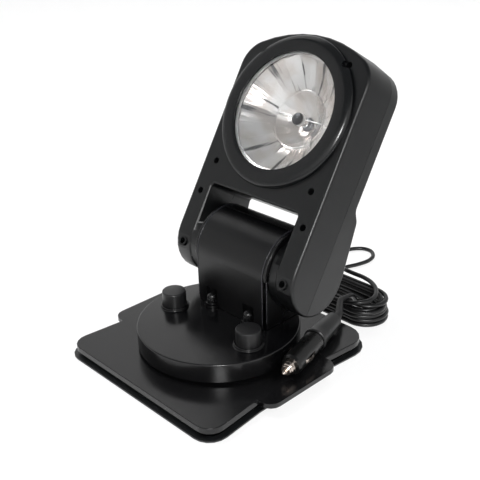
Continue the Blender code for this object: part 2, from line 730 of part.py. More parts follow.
def receiver_board(carrier):
    """Radio receiver board with its relays and terminal block, on the drum floor's posts."""
    low = DRUM_FLOOR_TOP + BOARD_POST_HEIGHT + SEAT
    length, width, thickness = BOARD_SIZE
    x, y = BOARD_CENTRE
    board = prism("board", [box_outline(x - length / 2, x + length / 2, y - width / 2, y + width / 2)],
                  low, low + thickness)
    pitch = length / (len(BOARD_PART_HEIGHTS) + 0.4)
    for index, (part, height) in enumerate(BOARD_PART_HEIGHTS.items()):
        left = x - length / 2 + pitch * (0.35 + index)
        outline = box_outline(left, left + 0.72 * pitch, y - 0.28 * width, y + 0.22 * width)
        join(board, prism(part, [outline], low + thickness / 2, low + thickness + height))
    return finished("receiver_board", board, BOARD_GREEN, carrier)


def neck_back_angle(inset=0.0):
    """Where the straight back of the neck meets its round top, in degrees."""
    foot_y = NECK_BACK_Y - inset - TILT_Y
    foot_z = NECK_FOOT - TILT_Z
    reach = math.hypot(foot_y, foot_z)
    return math.degrees(math.atan2(foot_z, foot_y) + math.acos((BARREL_RADIUS - inset) / reach))


def neck_front_path(inset=0.0, seam=0.0):
    """Side view of the neck's front: up the wall and over to the seam on top."""
    front = NECK_FRONT_Y + inset
    over = arc((TILT_Y, TILT_Z), BARREL_RADIUS - inset, 180.0, 90.0 + seam, 10)
    return [(front, NECK_FOOT - NECK_WALL)] + over


def neck_back_path(inset=0.0, seam=0.0):
    """Side view of the neck's back: from the seam on top down to the foot."""
    over = arc((TILT_Y, TILT_Z), BARREL_RADIUS - inset, 90.0 - seam, neck_back_angle(inset), 10)
    foot_y = NECK_BACK_Y - inset
    slope = (over[-1][0] - foot_y) / (over[-1][1] - NECK_FOOT)
    return over + [(foot_y - slope * NECK_WALL, NECK_FOOT - NECK_WALL)]


def slot_outline(place, radius, reach, outward):
    """Plan of a half-round alcove that is open on the outward side, -1 to the front."""
    x, y = place
    turn = 90.0 * (1.0 - outward) - 180.0
    outline = arc(place, radius, turn, turn + 180.0, 10)
    edge = y + outward * reach
    return outline + [(outline[-1][0], edge), (2 * x - outline[-1][0], edge)]


def add_screw_pockets(cover, side_view, y, outward):
    """Gives a neck cover a lug and an alcove for each screw, and trims its foot flat."""
    roof = NECK_FOOT + NECK_LUG_THICKNESS + NECK_ALCOVE_HEIGHT
    below = NECK_FOOT - NECK_WALL
    reach = 2 * BARREL_RADIUS
    for x in (-NECK_SCREW_X, NECK_SCREW_X):
        outline = slot_outline((x, y), NECK_ALCOVE_RADIUS + NECK_WALL, reach, outward)
        pocket = prism("pocket", [outline], below, roof + NECK_WALL)
        inside = prism("inside", [side_view], -NECK_HALF_WIDTH, NECK_HALF_WIDTH, "X")
        join(cover, settled(keep_inside(pocket, inside)))
    for x in (-NECK_SCREW_X, NECK_SCREW_X):
        outline = slot_outline((x, y), NECK_ALCOVE_RADIUS, 2 * reach, outward)
        cut(cover, prism("alcove", [outline], below - NECK_WALL, roof))
        join(cover, rod("lug", NECK_LUG_RADIUS, below, NECK_FOOT + NECK_LUG_THICKNESS, "Z",
                        (x, y, 0.0), 20))
        cut(cover, rod("hole", CAP_SHANK_RADIUS + SEAT, DRUM_BOTTOM, roof, "Z", (x, y, 0.0), 10))
    foot = box_outline(-2 * reach, 2 * reach, -2 * reach, 4 * reach)
    return cut(cover, prism("foot", [foot], 0.0, NECK_FOOT))


def neck_front_cover(carrier):
    """Front half of the neck: a flat wall that rolls over the tilt axle."""
    seam = math.degrees(SEAT / 2 / BARREL_RADIUS)
    outline = neck_front_path(0.0, seam) + neck_front_path(NECK_WALL, seam)[::-1]
    cover = prism("cover", [outline], -NECK_HALF_WIDTH, NECK_HALF_WIDTH, "X")
    bevel(cover, NECK_EDGE_ROUND, 2, 60)
    side_view = neck_front_path(NECK_WALL / 2, seam) + [(TILT_Y - NECK_WALL, NECK_FOOT - NECK_WALL)]
    add_screw_pockets(cover, side_view, NECK_FRONT_Y, -1)
    return finished("neck_front_cover", cover, BLACK_ABS, carrier)


def neck_rear_cover(carrier):
    """Rear half of the neck, which slopes in to its foot on the drum."""
    seam = math.degrees(SEAT / 2 / BARREL_RADIUS)
    outline = neck_back_path(0.0, seam) + neck_back_path(NECK_WALL, seam)[::-1]
    cover = prism("cover", [outline], -NECK_HALF_WIDTH, NECK_HALF_WIDTH, "X")
    bevel(cover, NECK_EDGE_ROUND, 2, 60)
    foot_y = TILT_Y - NECK_WALL
    side_view = neck_back_path(NECK_WALL / 2, seam) + [(foot_y, NECK_FOOT - NECK_WALL)]
    add_screw_pockets(cover, side_view, NECK_BACK_Y, 1)
    return finished("neck_rear_cover", cover, BLACK_ABS, carrier)


def cheek_outline():
    """Side view of a cheek: round as the barrel above the axle, set back below it."""
    front = NECK_FRONT_Y + CHEEK_SETBACK
    over = arc((TILT_Y, TILT_Z), BARREL_RADIUS, 180.0, neck_back_angle(), 20)
    return [(front, NECK_FOOT), (front, TILT_Z)] + over + [(NECK_BACK_Y, NECK_FOOT)]


def tilt_pinion_place():
    """The tilt pinion's centre, below the axle at the gears' centre distance."""
    distance = GEAR_MODULE * (TILT_GEAR_TEETH + TILT_PINION_TEETH) / 2
    drop = math.sqrt(distance ** 2 - (TILT_Y - TILT_PINION_Y) ** 2)
    return TILT_PINION_Y, TILT_Z - drop


def neck_cheek(side, name, carrier):
    """Side plate of the neck, which carries a tilt bush and, on the right, the tilt motor."""
    inner = NECK_HALF_WIDTH + SEAT
    bore = circle(AXLE_RADIUS + SEAT + BUSH_WALL + SEAT, 20, (TILT_Y, TILT_Z))
    low, high = sorted((side * inner, side * CHEEK_OUTSIDE))
    cheek = prism("cheek", [cheek_outline(), bore], low, high, "X")
    bevel(cheek, NECK_EDGE_ROUND, 2, 60)
    if side > 0:
        y, z = tilt_pinion_place()
        socket = tube("socket", MOTOR_RADIUS + SEAT + NECK_WALL, MOTOR_RADIUS + SEAT,
                      inner - 2 * NECK_WALL, inner + SEAT, "X", (0.0, y, z), 20)
        join(cheek, socket)
    return finished(name, cheek, BLACK_ABS, carrier)


def tilt_bush(side, name, carrier):
    """Flanged bush pressed into a cheek."""
    bore = AXLE_RADIUS + SEAT
    outer = bore + BUSH_WALL
    inner_x = NECK_HALF_WIDTH + SEAT
    flange_x = CHEEK_OUTSIDE + SEAT
    profile = [(outer + BUSH_FLANGE_WIDTH, flange_x + BUSH_FLANGE_THICKNESS),
               (outer + BUSH_FLANGE_WIDTH, flange_x), (outer, flange_x), (outer, inner_x),
               (bore, inner_x), (bore, flange_x + BUSH_FLANGE_THICKNESS)]
    profile = [(radius, side * height) for radius, height in profile]
    bush = turned("bush", profile, "X", (0.0, TILT_Y, TILT_Z), 20)
    return finished(name, bush, BRONZE, carrier)


def tilt_motor(carrier):
    """Tilt gear motor, held by its rear end in the right cheek's socket."""
    y, z = tilt_pinion_place()
    end = NECK_HALF_WIDTH
    nose = end - TILT_MOTOR_LENGTH
    bore = MOTOR_SHAFT_RADIUS + SEAT
    profile = [(0.0, end), (MOTOR_RADIUS, end), (MOTOR_RADIUS, nose), (bore, nose),
               (bore, nose + MOTOR_SHAFT_DEPTH + SEAT), (0.0, nose + MOTOR_SHAFT_DEPTH + SEAT)]
    return finished("tilt_motor", turned("motor", profile, "X", (0.0, y, z), 20), GREY_ZINC, carrier)


def tilt_gear_span():
    """Left and right faces of the tilt gear and its pinion."""
    right = NECK_HALF_WIDTH - TILT_MOTOR_LENGTH - SEAT
    return right - TILT_GEAR_WIDTH, right


def tilt_pinion(carrier):
    """Pinion on the tilt motor's shaft, in mesh with the gear on the axle."""
    y, z = tilt_pinion_place()
    spin = pivot("tilt_pinion_axis", (0.0, y, z), parent=carrier)
    toward_gear = math.degrees(math.atan2(TILT_Z - z, TILT_Y - y))
    phase = toward_gear + 180.0 / TILT_PINION_TEETH
    left, right = tilt_gear_span()
    pinion = prism("pinion", [gear_outline(TILT_PINION_TEETH, (0.0, 0.0), phase)], left, right, "X")
    join(pinion, rod("shaft", MOTOR_SHAFT_RADIUS, (left + right) / 2,
                     right + SEAT + MOTOR_SHAFT_DEPTH, "X", steps=10))
    return finished("tilt_pinion", pinion, WHITE_NYLON, spin)


def neck_screws(carrier):
    """Domed hexagon screws, each with its own washer, that hold the neck to the drum."""
    washer = NECK_FOOT + NECK_LUG_THICKNESS + SEAT
    low = washer + WASHER_THICKNESS
    shoulder = low + CAP_HEX_HEIGHT
    for corner, (x, y) in zip(CORNER_NAMES, NECK_SCREW_PLACES):
        hexagon = prism("hexagon", [circle(CAP_HEX_RADIUS, 6)], low - WASHER_THICKNESS / 2, shoulder)
        profile = [(0.0, shoulder + CAP_DOME_RADIUS)]
        profile += [(r, shoulder + h) for r, h in arc((0.0, 0.0), CAP_DOME_RADIUS, 70.0, 0.0, 3)]
        profile += [(CAP_DOME_RADIUS, low), (WASHER_RADIUS, low), (WASHER_RADIUS, washer),
                    (CAP_SHANK_RADIUS, washer), (CAP_SHANK_RADIUS, DRUM_TOP - 2 * DRUM_WALL),
                    (0.0, DRUM_TOP - 2 * DRUM_WALL)]
        screw = join(turned("screw", profile, steps=12), hexagon)
        screw = finished(f"neck_screw_{corner}", screw, GREY_ZINC, carrier)
        screw.location = (x, y, 0.0)


def head_outline(grow=0.0):
    """Front view of the head: straight sides, round corners and a gently arched top."""
    drop = FACE_DEPTH + HEAD_WALL
    corner_x = HEAD_HALF_WIDTH - HEAD_CORNER_RADIUS
    arch_z = HEAD_TOP - HEAD_TOP_ARC_RADIUS
    corner_z = arch_z + math.sqrt((HEAD_TOP_ARC_RADIUS - HEAD_CORNER_RADIUS) ** 2 - corner_x ** 2)
    lean = math.degrees(math.atan2(corner_z - arch_z, corner_x))
    corner = arc((corner_x, corner_z), HEAD_CORNER_RADIUS + grow, 0.0, lean, 6)
    top = arc((0.0, arch_z), HEAD_TOP_ARC_RADIUS + grow, lean, 90.0, 4)[1:-1]
    right = [(HEAD_HALF_WIDTH + grow, -drop)] + corner + top
    left = [(-x, z) for x, z in reversed(right)]
    return right + [(0.0, HEAD_TOP + grow)] + left


def loft(name, sections):
    """Joins outlines of equal point counts, each at its own depth, into a closed solid."""
    mesh = bpy.data.meshes.new(name)
    shell = bmesh.new()
    rings = [[shell.verts.new((x, -depth, z)) for x, z in outline] for depth, outline in sections]
    count = len(rings[0])
    for first, second in zip(rings, rings[1:]):
        for index in range(count):
            after = (index + 1) % count
            shell.faces.new((first[index], first[after], second[after], second[index]))
    shell.faces.new(rings[0])
    shell.faces.new(rings[-1])
    bmesh.ops.recalc_face_normals(shell, faces=shell.faces)
    shell.to_mesh(mesh)
    shell.free()
    return bpy.data.objects.new(name, mesh)


def head_side_outline(inset=0.0):
    """Side view of the head: flat face, round arm ends, arms that bulge back, flat back."""
    top = HEAD_TOP + 2 * FACE_DEPTH
    radius = FACE_DEPTH - inset
    tangent = math.degrees(math.atan2(FACE_DEPTH - STEP_DEPTH, STEP_LOW))
    outline = [(-radius, top)] + arc((0.0, 0.0), radius, 180.0, 360.0 + tangent, 16)
    steps = 4
    for step in range(steps + 1):
        share = step / steps
        ease = share * share * (3.0 - 2.0 * share)
        outline.append((STEP_DEPTH + (BACK_DEPTH - STEP_DEPTH) * ease - inset,
                        STEP_LOW + (STEP_HIGH - STEP_LOW) * share))
    return outline + [(BACK_DEPTH - inset, top)]


def back_depth(height):
    """Depth of the head's back at a height above the tilt axle."""
    outline = head_side_outline()
    for (depth_a, low), (depth_b, high) in zip(outline, outline[1:]):
        if low <= height <= high:
            return depth_a + (depth_b - depth_a) * (height - low) / (high - low)
    return BACK_DEPTH


def head_blank(name, inset=0.0):
    """The head's outer form, or its inside when inset by the wall."""
    sections = [(FACE_DEPTH - inset, head_outline(-inset)), (0.0, head_outline(HEAD_DRAFT - inset)),
                (-FACE_DEPTH - HEAD_WALL, head_outline(-inset))]
    blank = loft(name, sections)
    width = HEAD_HALF_WIDTH + FACE_DEPTH
    return keep_inside(blank, prism(f"{name}_side", [head_side_outline(inset)], -width, width, "X"))


def fork_slot(name, grow=0.0):
    """The gap between the arms, open below, which clears the neck."""
    half = FORK_HALF_WIDTH + grow
    drop = 2 * FACE_DEPTH
    corners = [(-drop, -half), (FORK_TOP + grow, -half), (FORK_TOP + grow, half), (-drop, half)]
    radii = [FORK_CORNER_RADIUS] * 4
    outline = rounded(corners, radii, 4)
    return prism(name, [outline], -2 * FACE_DEPTH, 2 * FACE_DEPTH, "Y")


def arm_hub(name, side, radius, low, high, steps=32):
    """A disc round the tilt axle on one arm, between two distances from the middle."""
    low, high = sorted((side * low, side * high))
    return rod(name, radius, low, high, "X", steps=steps)


def head_body():
    """The whole head as one hollow moulding, before it is split into two shells."""
    body = head_blank("body")
    cut(body, fork_slot("fork"))
    body = settled(bevel(body, HEAD_EDGE_ROUND, 2, 35))
    hollow = settled(head_blank("hollow", HEAD_WALL))
    cut(hollow, fork_slot("fork_wall", HEAD_WALL))
    for side in (-1, 1):
        cut(hollow, arm_hub(f"axle_seat_{side}", side, AXLE_BOSS_RADIUS, FORK_HALF_WIDTH,
                            AXLE_HALF_LENGTH + SEAT + HEAD_WALL, 20))
    cut(body, settled(hollow))
    for side in (-1, 1):
        join(body, arm_hub(f"hub_{side}", side, HUB_RADIUS, HUB_INSIDE,
                           FORK_HALF_WIDTH + HEAD_WALL / 2))
    for side in (-1, 1):
        cut(body, arm_hub(f"bore_{side}", side, AXLE_RADIUS + SEAT, HUB_INSIDE - HEAD_WALL,
                          AXLE_HALF_LENGTH + SEAT, 24))
    return settled(body)


def half_space(name, front):
    """A block that holds everything in front of, or behind, the head's parting plane."""
    reach = HEAD_TOP + 2 * FACE_DEPTH
    near = SEAT / 2
    outline = box_outline(-reach, reach, -reach, reach)
    low, high = (-reach, -near) if front else (near, reach)
    return prism(name, [outline], low, high, "Y")


def both_sides(places):
    """Mirrors (x, z) places to the other side."""
    return [(side * x, z) for x, z in places for side in (-1, 1)]


def head_front_shell(body, carrier):
    """Front shell with the lens collar, screw tubes and recesses."""
    shell = keep_inside(body, half_space("front", True))
    lamp = (0.0, 0.0, LAMP_HEIGHT)
    inner = GLASS_RADIUS + SEAT
    outer = inner + LENS_COLLAR_WALL
    ledge = lens_stack()["ledge"]
    cut(shell, rod("lens_hole", (inner + outer) / 2, -2 * FACE_DEPTH, FACE_DEPTH, "Y", lamp, 40))
    profile = [(outer, HEAD_WALL - ledge), (outer, HEAD_WALL / 2 - FACE_DEPTH),
               (outer, SEAT - FACE_DEPTH), (inner, SEAT - FACE_DEPTH), (inner, -ledge),
               (WINDOW_RADIUS, -ledge), (WINDOW_RADIUS, HEAD_WALL - ledge)]
    join(shell, turned("collar", profile, "Y", lamp, 40))
    places = both_sides(HEAD_SCREW_PLACES.values())
    join(shell, rods("tubes", places, HEAD_TUBE_RADIUS, HEAD_WALL / 2 - FACE_DEPTH, -SEAT / 2,
                     "Y", 10))
    cut(shell, rods("recesses", places, RECESS_RADIUS, -2 * FACE_DEPTH, -RECESS_FLOOR_DEPTH, "Y"))
    cut(shell, rods("holes", places, SCREW_SHANK_RADIUS + SEAT, -FACE_DEPTH, FACE_DEPTH, "Y", 8))
    return finished("head_front_shell", shell, BLACK_ABS, carrier)


def head_rear_shell(body, carrier):
    """Rear shell with a post behind each screw and a ring that backs the bulb holder."""
    shell = keep_inside(body, half_space("rear", False))
    places = both_sides(HEAD_SCREW_PLACES.values())
    posts = [rod("post", HEAD_TUBE_RADIUS, SEAT / 2, back_depth(z) - HEAD_WALL / 2, "Y",
                 (x, 0.0, z), 10) for x, z in places]
    join(shell, merged("posts", posts))
    cut(shell, rods("pilots", places, SCREW_SHANK_RADIUS + SEAT, -SEAT, HEAD_SCREW_REACH + SEAT,
                    "Y", 8))
    holder_back = -lens_stack()["holder"] + HOLDER_THICKNESS + SEAT
    join(shell, tube("holder_ring", HOLDER_RADIUS, HOLDER_RADIUS - HEAD_WALL, holder_back,
                     BACK_DEPTH - HEAD_WALL / 2, "Y", (0.0, 0.0, LAMP_HEIGHT), 20))
    return finished("head_rear_shell", shell, BLACK_ABS, carrier)


def lens_stack():
    """Depths of the pieces behind the face, from the bezel's lip to the bulb holder."""
    glass = FACE_DEPTH + SEAT
    gasket = FACE_DEPTH - GASKET_THICKNESS
    rim = gasket - SEAT - REFLECTOR_WALL
    return {"glass": glass, "lip": glass + GLASS_THICKNESS + SEAT, "gasket": gasket, "rim": rim,
            "ledge": rim - SEAT, "holder": REFLECTOR_VERTEX_DEPTH - REFLECTOR_WALL - SEAT}


def bezel_ring(carrier):
    """Convex ring round the lens, which holds the glass down."""
    lip = lens_stack()["lip"]
    low = FACE_DEPTH + SEAT
    top = FACE_DEPTH + BEZEL_HEIGHT
    crown = BEZEL_RADIUS - 0.010
    profile = [(WINDOW_RADIUS, lip), (WINDOW_RADIUS, top - 0.0012), (WINDOW_RADIUS + 0.0014, top - 0.0004)]
    profile += [(crown - 0.003, top)]
    steps = 4
    for step in range(steps + 1):
        angle = math.radians(90.0 * step / steps)
        profile.append((crown + (BEZEL_RADIUS - crown) * math.sin(angle),
                        low + 0.0016 + (top - low - 0.0016) * math.cos(angle)))
    profile += [(BEZEL_RADIUS, low), (GLASS_RADIUS + SEAT, low), (GLASS_RADIUS + SEAT, lip)]
    profile = [(radius, -depth) for radius, depth in profile]
    ring = turned("ring", profile, "Y", (0.0, 0.0, LAMP_HEIGHT), 40)
    notch = RECESS_RADIUS + 3 * SEAT
    cut(ring, rods("notches", both_sides([HEAD_SCREW_PLACES["top"]]), notch, -2 * FACE_DEPTH, 0.0, "Y"))
    return finished("bezel_ring", ring, BLACK_ABS, carrier)


def lens_glass(carrier):
    """Clear front glass, slightly crowned."""
    low = lens_stack()["glass"]
    rim = low + GLASS_THICKNESS
    flat = WINDOW_RADIUS - 2 * SEAT
    profile = [(0.0, -rim - GLASS_CROWN)]
    for step in range(1, 4):
        share = step / 3
        profile.append((flat * share, -rim - GLASS_CROWN * (1.0 - share * share)))
    profile += [(GLASS_RADIUS, -rim), (GLASS_RADIUS, -low), (0.0, -low)]
    glass = turned("glass", profile, "Y", (0.0, 0.0, LAMP_HEIGHT), 40)
    return finished("lens_glass", glass, CLEAR_GLASS, carrier)


def lens_gasket(carrier):
    """Rubber ring between the glass and the reflector's rim."""
    low = lens_stack()["gasket"]
    ring = tube("ring", GLASS_RADIUS, WINDOW_RADIUS, -low - GASKET_THICKNESS, -low, "Y",
                (0.0, 0.0, LAMP_HEIGHT), 40)
    return finished("lens_gasket", ring, BLACK_RUBBER, carrier)


def reflector_depth(radius):
    """Depth of the reflector's parabola at a radius."""
    rise = lens_stack()["rim"] - REFLECTOR_VERTEX_DEPTH
    return REFLECTOR_VERTEX_DEPTH + rise * (radius / REFLECTOR_RADIUS) ** 2


def reflector(carrier):
    """Parabolic reflector with a flat rim and a hole for the bulb."""
    rim = lens_stack()["rim"]
    steps = 5
    radii = [BULB_HOLE_RADIUS + (REFLECTOR_RADIUS - BULB_HOLE_RADIUS) * step / steps
             for step in range(steps + 1)]
    bowl = [(radius, reflector_depth(radius) + REFLECTOR_WALL) for radius in radii]
    back = [(radius, reflector_depth(radius)) for radius in reversed(radii)]
    flange = [(GLASS_RADIUS, rim + REFLECTOR_WALL), (GLASS_RADIUS, rim)]
    profile = [(radius, -depth) for radius, depth in bowl + flange + back]
    dish = turned("dish", profile, "Y", (0.0, 0.0, LAMP_HEIGHT), 32)
    return finished("reflector", dish, MIRROR_SILVER, carrier)


def bulb_front():
    """Depth of the bulb base's front face."""
    return lens_stack()["holder"] - HOLDER_THICKNESS + BULB_BASE_LENGTH


def bulb_base(carrier):
    """Metal base of the bulb, whose flange is clipped to the back of the reflector."""
    front = lens_stack()["holder"]
    back = front - HOLDER_THICKNESS
    profile = [(0.0, -bulb_front()), (BULB_BASE_RADIUS, -bulb_front()), (BULB_BASE_RADIUS, -front),
               (HOLDER_RADIUS, -front), (HOLDER_RADIUS, -back), (0.0, -back)]
    base = turned("base", profile, "Y", (0.0, 0.0, LAMP_HEIGHT), 20)
    return finished("bulb_base", base, GREY_ZINC, carrier)


def bulb_glass(carrier):
    """Glass capsule of the bulb."""
    low = bulb_front() + SEAT
    top = low + BULB_GLASS_LENGTH
    bend = top - BULB_GLASS_RADIUS
    profile = [(0.0, -top)]
    profile += [(r, -bend - h) for r, h in arc((0.0, 0.0), BULB_GLASS_RADIUS, 70.0, 0.0, 3)]
    profile += [(BULB_GLASS_RADIUS, -low), (0.0, -low)]
    glass = turned("glass", profile, "Y", (0.0, 0.0, LAMP_HEIGHT), 14)
    return finished("bulb_glass", glass, CLEAR_GLASS, carrier)


def shield_front():
    """Depth of the shield's front face, just clear of the bulb's tip."""
    return bulb_front() + SEAT + BULB_GLASS_LENGTH + SEAT + SHIELD_WALL


def bulb_shield(carrier):
    """Cup over the bulb's tip, carried by two wires from the holder."""
    front = shield_front()
    back = front - SHIELD_LENGTH
    inner = SHIELD_RADIUS - SHIELD_WALL
    profile = [(0.0, -front), (SHIELD_RADIUS - SHIELD_WALL, -front), (SHIELD_RADIUS, -front + SHIELD_WALL),
               (SHIELD_RADIUS, -back), (inner, -back), (inner, -front + SHIELD_WALL),
               (0.0, -front + SHIELD_WALL)]
    cup = turned("cup", profile, "Y", (0.0, 0.0, LAMP_HEIGHT), 18)
    for side in (-1, 1):
        edge = side * (SHIELD_RADIUS - SHIELD_WALL / 2)
        foot = side * (BULB_BASE_RADIUS - WIRE_RADIUS)
        low = bulb_front() + SEAT
        route = [(foot, -low, 0.0), (edge, -low - WIRE_RADIUS * 4, 0.0), (edge, -back - WIRE_RADIUS, 0.0)]
        join(cup, wire(f"wire_{side}", route, WIRE_RADIUS, (0.0, 0.0, LAMP_HEIGHT)))
    return finished("bulb_shield", cup, GREY_ZINC, carrier)


def wire(name, route, radius, centre=(0.0, 0.0, 0.0), radii=None, resolution=2):
    """A round wire or tube along a route, as a closed mesh."""
    curve = bpy.data.curves.new(name, "CURVE")
    curve.dimensions = "3D"
    curve.bevel_depth = radius
    curve.bevel_resolution = resolution
    curve.use_fill_caps = True
    spline = curve.splines.new("POLY")
    spline.points.add(len(route) - 1)
    for index, place in enumerate(route):
        spline.points[index].co = (*place, 1.0)
        spline.points[index].radius = 1.0 if radii is None else radii[index] / radius
    shape = link(bpy.data.objects.new(name, curve), True)
    shape.location = centre
    return evaluated(shape)


def head_screws(carrier):
    """Screws that hold the two shells together, at the bottom of their recesses."""
    seat = RECESS_FLOOR_DEPTH + SEAT
    head = seat + SCREW_HEAD_HEIGHT
    profile = [(0.0, -head), (SCREW_HEAD_RADIUS, -head), (SCREW_HEAD_RADIUS, -seat),
               (SCREW_SHANK_RADIUS, -seat), (SCREW_SHANK_RADIUS, HEAD_SCREW_REACH),
               (0.0, HEAD_SCREW_REACH)]
    for row, (x, z) in HEAD_SCREW_PLACES.items():
        for side, side_name in ((-1, "left"), (1, "right")):
            screw = turned("screw", profile, "Y", (0.0, 0.0, 0.0), 8)
            screw = finished(f"head_screw_{row}_{side_name}", screw, GREY_ZINC, carrier)
            screw.location = (side * x, 0.0, z)


def tilt_axle(carrier):
    """Steel axle held between the head's shells, which turns in the neck's bushes."""
    axle = rod("axle", AXLE_RADIUS, -AXLE_HALF_LENGTH, AXLE_HALF_LENGTH, "X", steps=20)
    return finished("tilt_axle", bevel(axle, AXLE_RADIUS * 0.1, 1, 60), GREY_ZINC, carrier)


def tilt_gear(carrier, mesh_angle):
    """Gear fixed on the axle, driven by the tilt pinion."""
    left, right = tilt_gear_span()
    bore = circle(AXLE_RADIUS + SEAT, 20)
    gear = prism("gear", [gear_outline(TILT_GEAR_TEETH, (0.0, 0.0), mesh_angle), bore], left, right,
                 "X")
    return finished("tilt_gear", gear, WHITE_NYLON, carrier)


def cord_gland():
    """Rubber gland in the base's rear edge, which tapers along the cord."""
    start = BASE_HALF_DEPTH + SEAT
    flange = start + GLAND_FLANGE_THICKNESS
    end = start + GLAND_LENGTH
    bore = CORD_RADIUS + SEAT
    profile = [(bore, end), (RELIEF_END_RADIUS, end), (GLAND_RADIUS, flange),
               (GLAND_FLANGE_RADIUS, flange), (GLAND_FLANGE_RADIUS, start), (bore, start)]
    profile = profile[::-1]
    gland = turned("gland", profile, "Y", (GLAND_X, 0.0, GLAND_HEIGHT), 16)
    return finished("cord_gland", gland, BLACK_RUBBER)


# The cord's free run from the gland: back along the floor, round a loop, over itself and
# onto the hank as a loose top turn
CORD_ROUTE = [
    (GLAND_X, BASE_HALF_DEPTH + 0.0004, GLAND_HEIGHT),
    (GLAND_X, BASE_HALF_DEPTH + 0.0118, GLAND_HEIGHT),
    (GLAND_X, BASE_HALF_DEPTH + 0.0224, GLAND_HEIGHT),
    (-0.0440, 0.1425, 0.0066), (-0.0405, 0.1570, 0.0038), (-0.0335, 0.1780, 0.0028),
    (-0.0250, 0.2000, 0.0027), (-0.0205, 0.2220, 0.0027), (-0.013, 0.2430, 0.0027), (-0.011, 0.2600, 0.0027),
    (-0.017, 0.2740, 0.0027), (-0.030, 0.2805, 0.0027), (-0.043, 0.2730, 0.0027),
    (-0.050, 0.2550, 0.0027), (-0.052, 0.2360, 0.0029), (-0.046, 0.2200, 0.0040),
    (-0.034, 0.2105, 0.0072), (-0.019, 0.2040, 0.0125), (-0.006, 0.1955, 0.0195),
    (0.004, 0.1870, 0.0256), (0.014, 0.1805, 0.0278), (0.027, 0.1800, 0.0276),
    (0.042, 0.1800, 0.0274), (0.058, 0.1745, 0.0274), (0.070, 0.1640, 0.0274),
    (0.0765, 0.1520, 0.0274), (0.0770, 0.1420, 0.0274), (0.0735, 0.1345, 0.0272),
]

# From the plug's strain relief over the hank's front and down into its middle
TAIL_ROUTE = [
    (0.0560, 0.1325, 0.0280), (0.0558, 0.1365, 0.0278), (0.0558, 0.1410, 0.0260),
    (0.0555, 0.1455, 0.0212), (0.0548, 0.1502, 0.0142), (0.0545, 0.1548, 0.0085),
    (0.0520, 0.1595, 0.0045), (0.0470, 0.1625, 0.0028), (0.0410, 0.1632, 0.0027),
]


def smooth_route(points, spacing):
    """A smooth curve through chosen points, read at an even spacing."""
    fine = []
    count = len(points)
    for index in range(count - 1):
        p0, p1, p2, p3 = (Vector(points[min(max(index + shift, 0), count - 1)])
                          for shift in (-1, 0, 1, 2))
        for step in range(12):
            t = step / 12
            fine.append(0.5 * (2 * p1 + (p2 - p0) * t + (2 * p0 - 5 * p1 + 4 * p2 - p3) * t ** 2
                               + (3 * p1 - p0 - 3 * p2 + p3) * t ** 3))
    fine.append(Vector(points[-1]))
    lengths = [(b - a).length for a, b in zip(fine, fine[1:])]
    pieces = max(2, round(sum(lengths) / spacing))
    target = sum(lengths) / pieces
    route = [fine[0]]
    travelled = 0.0
    for start, end, length in zip(fine, fine[1:], lengths):
        while travelled + length >= target * len(route) and len(route) < pieces:
            share = (target * len(route) - travelled) / length
            route.append(start.lerp(end, share))
        travelled += length
    return route + [fine[-1]]


def power_cord():
    """The cord's free run from the gland to the hank."""
    route = smooth_route(CORD_ROUTE, 0.0085)
    return finished("power_cord", wire("cord", route, CORD_RADIUS), BLACK_RUBBER)


def power_cord_tail():
    """The cord's end from the plug's strain relief into the hank."""
    route = smooth_route(TAIL_ROUTE, 0.0070)
    return finished("power_cord_tail", wire("tail", route, CORD_RADIUS), BLACK_RUBBER)


def hank_outline(radius):
    """A long loop's outline with round ends."""
    x, y = HANK_MIDDLE
    near = arc((x + HANK_STRAIGHT / 2, y), radius, -90.0, 90.0, 14)
    far = arc((x - HANK_STRAIGHT / 2, y), radius, 90.0, 270.0, 14)
    return near + far


def power_cord_coil():
    """Outer shape of the hank that the cord is folded into on the floor behind the base."""
    outlines = [hank_outline(HANK_OUTER_RADIUS), hank_outline(HANK_INNER_RADIUS)]
    hank = bevel(prism("hank", outlines, 0.0, HANK_HEIGHT), 0.8 * CORD_RADIUS)
    return finished("power_cord_coil", hank, BLACK_RUBBER)


def plug_carrier():
    """The plug's own frame: its tip at the origin, its length along +Y."""
    place = (*PLUG_TIP, BASE_TOP + PLUG_AXIS_HEIGHT)
    return pivot("plug_frame", place, (PLUG_SLOPE, 0.0, PLUG_HEADING))


def plug_barrel(carrier):
    """Front barrel with a slot on each side for its contact springs."""
    nose = BARREL_START
    end = BARREL_END - SEAT
    sleeve_bore = NUT_SLEEVE_RADIUS + SEAT
    sleeve_end = nose + NUT_SLEEVE_LENGTH + SEAT
    taper = 0.0015
    profile = [(sleeve_bore, nose), (PLUG_RADIUS - taper, nose), (PLUG_RADIUS, nose + 2 * taper),
               (PLUG_RADIUS, end), (PLUG_BORE_RADIUS, end), (PLUG_BORE_RADIUS, sleeve_end),
               (sleeve_bore, sleeve_end)]
    barrel = turned("barrel", profile[::-1], "Y", (0.0, 0.0, 0.0), 24)
    half = CONTACT_WIDTH / 2 + SEAT
    low, high = CONTACT_START - SEAT, CONTACT_START + CONTACT_LENGTH + SEAT
    reach = 2 * PLUG_RADIUS
    cut(barrel, prism("slots", [box_outline(-half, half, -reach, reach)], low, high, "Y"))
    return finished("plug_barrel", barrel, BLACK_ABS, carrier)


